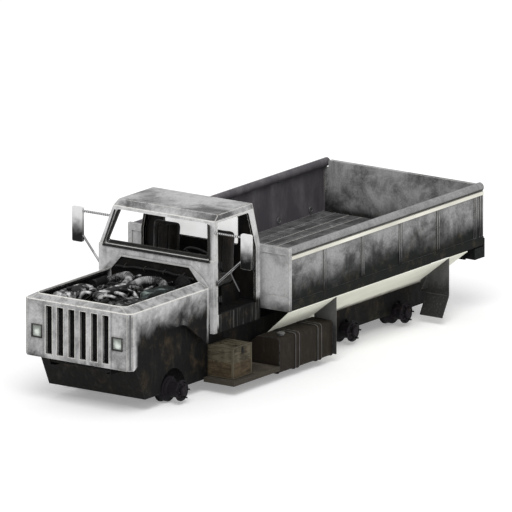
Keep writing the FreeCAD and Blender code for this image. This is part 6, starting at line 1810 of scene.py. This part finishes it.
@dataclass
class Underbody:
    """Frame, axles, springs, skirts, tanks, steps, boxes and hub ends."""

    def build(self) -> None:
        """Dresses the underbody's nodes and adds its details."""
        DarkSteel("frame_steel", "frame", mud_share=0.25).dress("chassis_frame", "crossmembers")
        DarkSteel("underpan_steel", "underpan", base=tone(13, 12, 11), mud=tone(84, 69, 52), mud_share=0.3,
                  low_mud=tone(88, 70, 50), low_top=0.3).dress("front_underpan")
        DarkSteel("skirt_steel", "skirt", base=grey(11), mud=tone(88, 74, 56), mud_share=0.42,
                  low_top=0.4).dress("inner_skirts")
        DarkSteel("axle_iron", "axle", base=tone(20, 18, 21), mud_share=0.25, metallic=0.2).dress(
            "axles", "driveline", "knuckle_left", "knuckle_right", "tie_rod")
        DarkSteel("spring_steel", "spring", base=grey(16), mud=tone(70, 52, 38), mud_share=0.3,
                  metallic=0.2).dress("leaf_springs", "dampers")
        DarkSteel("exhaust_steel", "exhaust", base=tone(36, 28, 23), mud=tone(104, 70, 48), mud_share=0.45,
                  metallic=0.2, low_top=0.0).dress("exhaust")
        Rubber("flap_rubber", "flap_rubber", base=grey(46), faded=grey(86), top=0.75,
               bottom=0.25).dress("mud_flaps")
        DarkSteel("tank_paint", "tank_paint", base=tone(36, 31, 25), mud=tone(62, 55, 43), mud_share=0.35,
                  edge_colour=tone(108, 106, 98), edge_strength=0.8).dress("fuel_tanks")
        DarkSteel("step_steel", "step_steel", base=tone(62, 57, 50), mud=tone(96, 88, 76), mud_share=0.5,
                  edge_colour=grey(120, 4)).dress("steps")
        OldWood("box_boards", "box_wood").dress("stowage_boxes")
        hub = CastMetal("hub_iron", "hub_iron", base=tone(27, 24, 28), pale=tone(58, 53, 58),
                        tint=tone(48, 38, 30),
                        pale_share=0.25, tint_share=0.3, metallic=0.15, rough_low=0.55)
        hub.dress(*(f"hub_{place.value}_{side.value}" for place in Place for side in Side))
        self.wheel_shade_curtains()
        self.skirt_corners()
        self.tank_trim()
        self.step_trim()
        self.box_irons()
        self.hub_bolts()

    def wheel_shade_curtains(self) -> None:
        """Dark rubber sheet behind each hub, painted shade that hides the bright floor under the truck: a
        sheet between the axle's round hole and its square rim.
        """
        centre = np.array([0.0, self.axle_y("front"), AXLE_HEIGHT])
        angle = np.linspace(0, 2 * np.pi, 121)[:-1]
        c, s = np.cos(angle), np.sin(angle)
        across = np.where(c > 0, 0.67, 0.29)
        upright = np.where(s > 0, 0.38, 0.065)
        reach = 1 / np.maximum(np.abs(c) / across, np.abs(s) / upright)
        rings = []
        for x, radius in ((0.471, reach), (0.471, 0.062 + 0 * reach), (0.476, 0.062 + 0 * reach),
                          (0.476, reach)):
            rings.append(np.stack([np.full_like(c, x), centre[1] + radius * c, centre[2] + radius * s],
                                  axis=1))
        sheet = rings_shell(np.stack(rings), wrap_rows=True)
        aft = [Shell(np.stack([sheet.points[:, 0], y + (sheet.points[:, 1] - centre[1]) * 0.8,
                               AXLE_HEIGHT + (sheet.points[:, 2] - AXLE_HEIGHT) * 0.7], axis=1), sheet.faces)
               for y in (self.axle_y("middle"), self.axle_y("rear"))]
        make_piece("wheel_shade_curtains", sheet.joined(*aft).both(), DARK_RUBBER, smooth=False)

    def axle_y(self, place: str) -> float:
        """Distance of an axle's line along Y, from its left hub's box."""
        low, high = corners_of(f"hub_{place}_left")
        return float(low[1] + high[1]) / 2

    def skirt_corners(self) -> None:
        """Closing plates: behind the splash panel's front tip and at the skirt's tail."""
        splash_low = corners_of("splash_panels")[0]
        skirt_high = corners_of("inner_skirts")[1]
        x = skirt_high[0] - 0.006
        y0, y1 = splash_low[1] - 0.001, skirt_high[1] - 0.10
        front = [[y0, 0.452], [0.0, 0.452], [0.0, 0.712], [y0 + 0.066, 0.712], [y0 + 0.066, 0.765],
                 [y0, 0.765]]
        tail = [[y1, 0.205], [y1 + 0.21, 0.205], [y1 + 0.21, 0.456], [y1, 0.456]]
        plates = [bar_along(one, [x - 0.0055, 0, 0], [x + 0.0055, 0, 0], (0, 1, 0)) for one in (front, tail)]
        plates = together(plates)
        make_piece("skirt_corners", plates.both(), DARK_FITTING, smooth=False)

    def tank_trim(self) -> None:
        """Pale beads on the strap edges, rolled end seams and filler caps."""
        low, high = corners_of("fuel_tanks")
        x0, x1 = 0.742, high[0] - 0.008
        z0, z1 = low[2] + 0.008, high[2] - 0.008
        beads = []
        for y in (low[1] + 0.352, low[1] + 0.433, low[1] + 0.842, low[1] + 0.923):
            path = cornered_path([[x0, y, z0 - 0.009], [x1 + 0.009, y, z0 - 0.009],
                                  [x1 + 0.009, y, z1 + 0.009],
                                  [0.90, y, z1 + 0.009]], 0.046)
            beads.append(tube(path, 0.004, 6))
        make_piece("strap_edges", together(beads).both(), GROOVE)
        seams = []
        for y in (low[1] + 0.006, high[1] - 0.006):
            path = cornered_path([[x0, y, z0 - 0.001], [x1 + 0.001, y, z0 - 0.001],
                                  [x1 + 0.001, y, z1 + 0.001],
                                  [0.88, y, z1 + 0.001]], 0.046)
            seams.append(tube(path, 0.006, 8))
        make_piece("tank_seams", together(seams).both(), DARK_FITTING)
        cap = turned([[-0.01, 0.045], [0.018, 0.045], [0.022, 0.052], [0.034, 0.052], [0.04, 0.044],
                      [0.042, 0.01]],
                     [1.10, low[1] + 0.18, z1], (0, 0, 1), 24)
        make_piece("tank_caps", cap.both(), BARE_STEEL)

    def step_trim(self) -> None:
        """Raised diamonds on the steps: a grid whose height is the product of two slanting waves."""
        low, high = corners_of("steps")
        u = np.linspace(low[1] + 0.012, high[1] - 0.012, 240)[:, None]
        v = np.linspace(0.752, high[0] - 0.012, 110)[None, :]
        slant = np.sin((u + v) * 2 * np.pi / 0.07) * np.sin((u - v) * 2 * np.pi / 0.07)
        height = 0.0035 * np.clip(np.abs(slant) * 2.4 - 1.1, 0, 1)
        points = np.stack([v + 0 * u, u + 0 * v, high[2] + 0.0006 + height], axis=2)
        tread = Shell(points.reshape(-1, 3), grid_faces(240, 110, False, False))
        tread_finish = DarkSteel("tread_steel", "step_steel", base=tone(64, 59, 52), mud=tone(104, 97, 86),
                                 mud_share=0.55, edge_colour=grey(120, 4), low_top=0.0)
        make_piece("step_treads", tread.both(), tread_finish)

    def box_irons(self) -> None:
        """Corner irons, edge bars and a hasp on each stowage box."""
        low, high = corners_of("stowage_boxes")
        x0, x1, y0, y1 = 0.74, high[0], low[1], high[1]
        z0, z1 = low[2], high[2]
        angle = [[0.0, 0.0], [0.026, 0.0], [0.026, 0.003], [0.003, 0.003], [0.003, 0.026], [0.0, 0.026]]
        irons = []
        for x, y, a, b in ((x1 + 0.002, y0 - 0.002, -1, 1), (x1 + 0.002, y1 + 0.002, -1, -1)):
            outline = np.array(angle) * [a, b]
            ring = np.stack([outline[:, 0] + x, outline[:, 1] + y], axis=1)
            foot = np.concatenate([ring, np.full((6, 1), z0)], axis=1)
            head = np.concatenate([ring, np.full((6, 1), z1 + 0.002)], axis=1)
            irons.append(rings_shell(np.stack([foot, head])))
        rims = [[[x0, y0, z1], [x1, y0, z1]], [[x1, y0, z1], [x1, y1, z1]],
                [[x0, y0, z0 + 0.01], [x1, y0, z0 + 0.01]],
                [[x1, y0, z0 + 0.01], [x1, y1, z0 + 0.01]]]
        bars = [tube(one, 0.006, 6) for one in rims]
        make_piece("box_irons", together([*irons, *bars]).both(), BOX_IRON, smooth=False)
        middle = (y0 + y1) / 2
        hasp = soft_block([x1 + 0.004, middle, z1 - 0.06], [0.004, 0.018, 0.045], 0.3, 12)
        make_piece("box_hasps", hasp.both(), DARK_FITTING)

    def hub_bolts(self) -> None:
        """Ring of flange bolts round each hub's centring cap, turning with it."""
        face = corners_of("hub_middle_left")[1][0] - 0.046
        angle = np.linspace(0, 2 * np.pi, 9)[:-1]
        for place in Place:
            for side in Side:
                node_low, node_high = corners_of(f"hub_{place.value}_{side.value}")
                y = (node_low[1] + node_high[1]) / 2
                z = (node_low[2] + node_high[2]) / 2
                spots = np.stack([np.full(8, face), y + 0.083 * np.cos(angle), z + 0.083 * np.sin(angle)],
                                 axis=1)
                bolts = hex_nut(0.0105, 0.010, (1, 0, 0)).copies(spots)
                if side is Side.RIGHT:
                    bolts = bolts.mirrored()
                name = f"hub_bolts_{place.value}_{side.value}"
                make_piece(name, bolts, HUB_BOLT, body=f"hub_{place.value}_{side.value}", smooth=False)


# Room and camera

@dataclass
class Studio:
    """Pale floor, soft light and the camera at the photograph's angle.

    The camera stands 300 m off: nearer, its perspective leaves the photograph's, and views of the
    poses from 400 m came out blank.
    """

    azimuth: float = 35.08
    elevation: float = 13.86
    distance: float = 300.0
    pixels_per_metre: float = 78.923
    frame_pixels: int = 512
    sensor: float = 18.0
    aim_from: tuple[float, float, float] = (0.0, -0.099, 1.3)
    aim_right: float = 0.23496
    aim_up: float = 0.00037
    world_light: float = 0.62
    sun_strength: float = 1.3
    sun_angle: float = 30.0
    floor_reach: float = 60.0
    floor_drop: float = 0.001
    floor_grey: float = 0.9
    floor_glow: float = 0.26

    def build(self) -> None:
        """Makes the floor, the light and the camera."""
        bpy.context.scene.view_settings.view_transform = "Standard"
        self.floor()
        self.world()
        self.sun()
        self.camera()

    def seen_directly(self, tree: bpy.types.NodeTree) -> Socket:
        """1 for rays of the camera, of gloss and through glass."""
        path = tree.nodes.new("ShaderNodeLightPath")
        total = path.outputs["Is Camera Ray"]
        for name in ("Is Glossy Ray", "Is Transmission Ray"):
            add = tree.nodes.new("ShaderNodeMath")
            add.operation = "MAXIMUM"
            tree.links.new(total, add.inputs[0])
            tree.links.new(path.outputs[name], add.inputs[1])
            total = add.outputs[0]
        return total

    def floor(self) -> None:
        """Large pale floor that takes the truck's soft shadow."""
        reach = self.floor_reach
        mesh = bpy.data.meshes.new("floor")
        corners = ((-reach, -reach), (reach, -reach), (reach, reach), (-reach, reach))
        mesh.from_pydata([(x, y, -self.floor_drop) for x, y in corners], [], [(0, 1, 2, 3)])
        material = bpy.data.materials.new("floor_card")
        material.use_nodes = True
        tree = material.node_tree
        tree.nodes.clear()
        card = tree.nodes.new("ShaderNodeBsdfDiffuse")
        card.inputs["Color"].default_value = (*[self.floor_grey] * 3, 1.0)
        glow = tree.nodes.new("ShaderNodeEmission")
        tree.links.new(self.seen_directly(tree), glow.inputs["Strength"])
        glow.inputs["Color"].default_value = (*[self.floor_glow] * 3, 1.0)
        add = tree.nodes.new("ShaderNodeAddShader")
        output = tree.nodes.new("ShaderNodeOutputMaterial")
        tree.links.new(card.outputs[0], add.inputs[0])
        tree.links.new(glow.outputs[0], add.inputs[1])
        tree.links.new(add.outputs[0], output.inputs[0])
        mesh.materials.append(material)
        floor = bpy.data.objects.new("floor", mesh)
        bpy.context.scene.collection.objects.link(floor)

    def world(self) -> None:
        """White room: white where it is seen, softer where it only lights."""
        world = bpy.data.worlds.new("white_room")
        bpy.context.scene.world = world
        world.use_nodes = True
        tree = world.node_tree
        tree.nodes.clear()
        share = tree.nodes.new("ShaderNodeMapRange")
        tree.links.new(self.seen_directly(tree), share.inputs[0])
        share.inputs["To Min"].default_value = self.world_light
        share.inputs["To Max"].default_value = 1.0
        background = tree.nodes.new("ShaderNodeBackground")
        background.inputs["Color"].default_value = (1.0, 1.0, 1.0, 1.0)
        tree.links.new(share.outputs[0], background.inputs["Strength"])
        output = tree.nodes.new("ShaderNodeOutputWorld")
        tree.links.new(background.outputs[0], output.inputs[0])

    def sun(self) -> None:
        """Broad soft lamp from above, ahead of the truck."""
        lamp = bpy.data.lights.new("soft_lamp", "SUN")
        lamp.energy = self.sun_strength
        lamp.angle = math.radians(self.sun_angle)
        holder = bpy.data.objects.new("soft_lamp", lamp)
        holder.rotation_euler = Vector((0.45, -0.65, 1.0)).to_track_quat("Z", "Y").to_euler()
        bpy.context.scene.collection.objects.link(holder)

    def camera(self) -> None:
        """Long-lens camera that repeats the photograph's view."""
        a, e = math.radians(self.azimuth), math.radians(self.elevation)
        right = Vector((math.cos(a), math.sin(a), 0.0))
        back = Vector((math.sin(a) * math.cos(e), -math.cos(a) * math.cos(e), math.sin(e)))
        up = back.cross(right)
        aim = Vector(self.aim_from) + right * self.aim_right + up * self.aim_up
        data = bpy.data.cameras.new("camera")
        data.sensor_width = self.sensor
        data.lens = self.pixels_per_metre * self.distance * self.sensor / self.frame_pixels
        data.clip_start = 0.1
        data.clip_end = self.distance * 3.0
        camera = bpy.data.objects.new("camera", data)
        turn = Matrix((right, up, back)).transposed().to_4x4()
        camera.matrix_world = Matrix.Translation(aim + back * self.distance) @ turn
        bpy.context.scene.collection.objects.link(camera)
        bpy.context.scene.camera = camera


def main() -> None:
    """Builds every part of the scene in order."""
    logging.basicConfig(level=logging.INFO, format="%(name)s: %(message)s")
    for assembly in (Nose(), EngineBay(), Cab(), CargoBed(), Underbody(), Studio()):
        log.info("building %s", type(assembly).__name__)
        assembly.build()


if __name__ == "__main__":
    main()
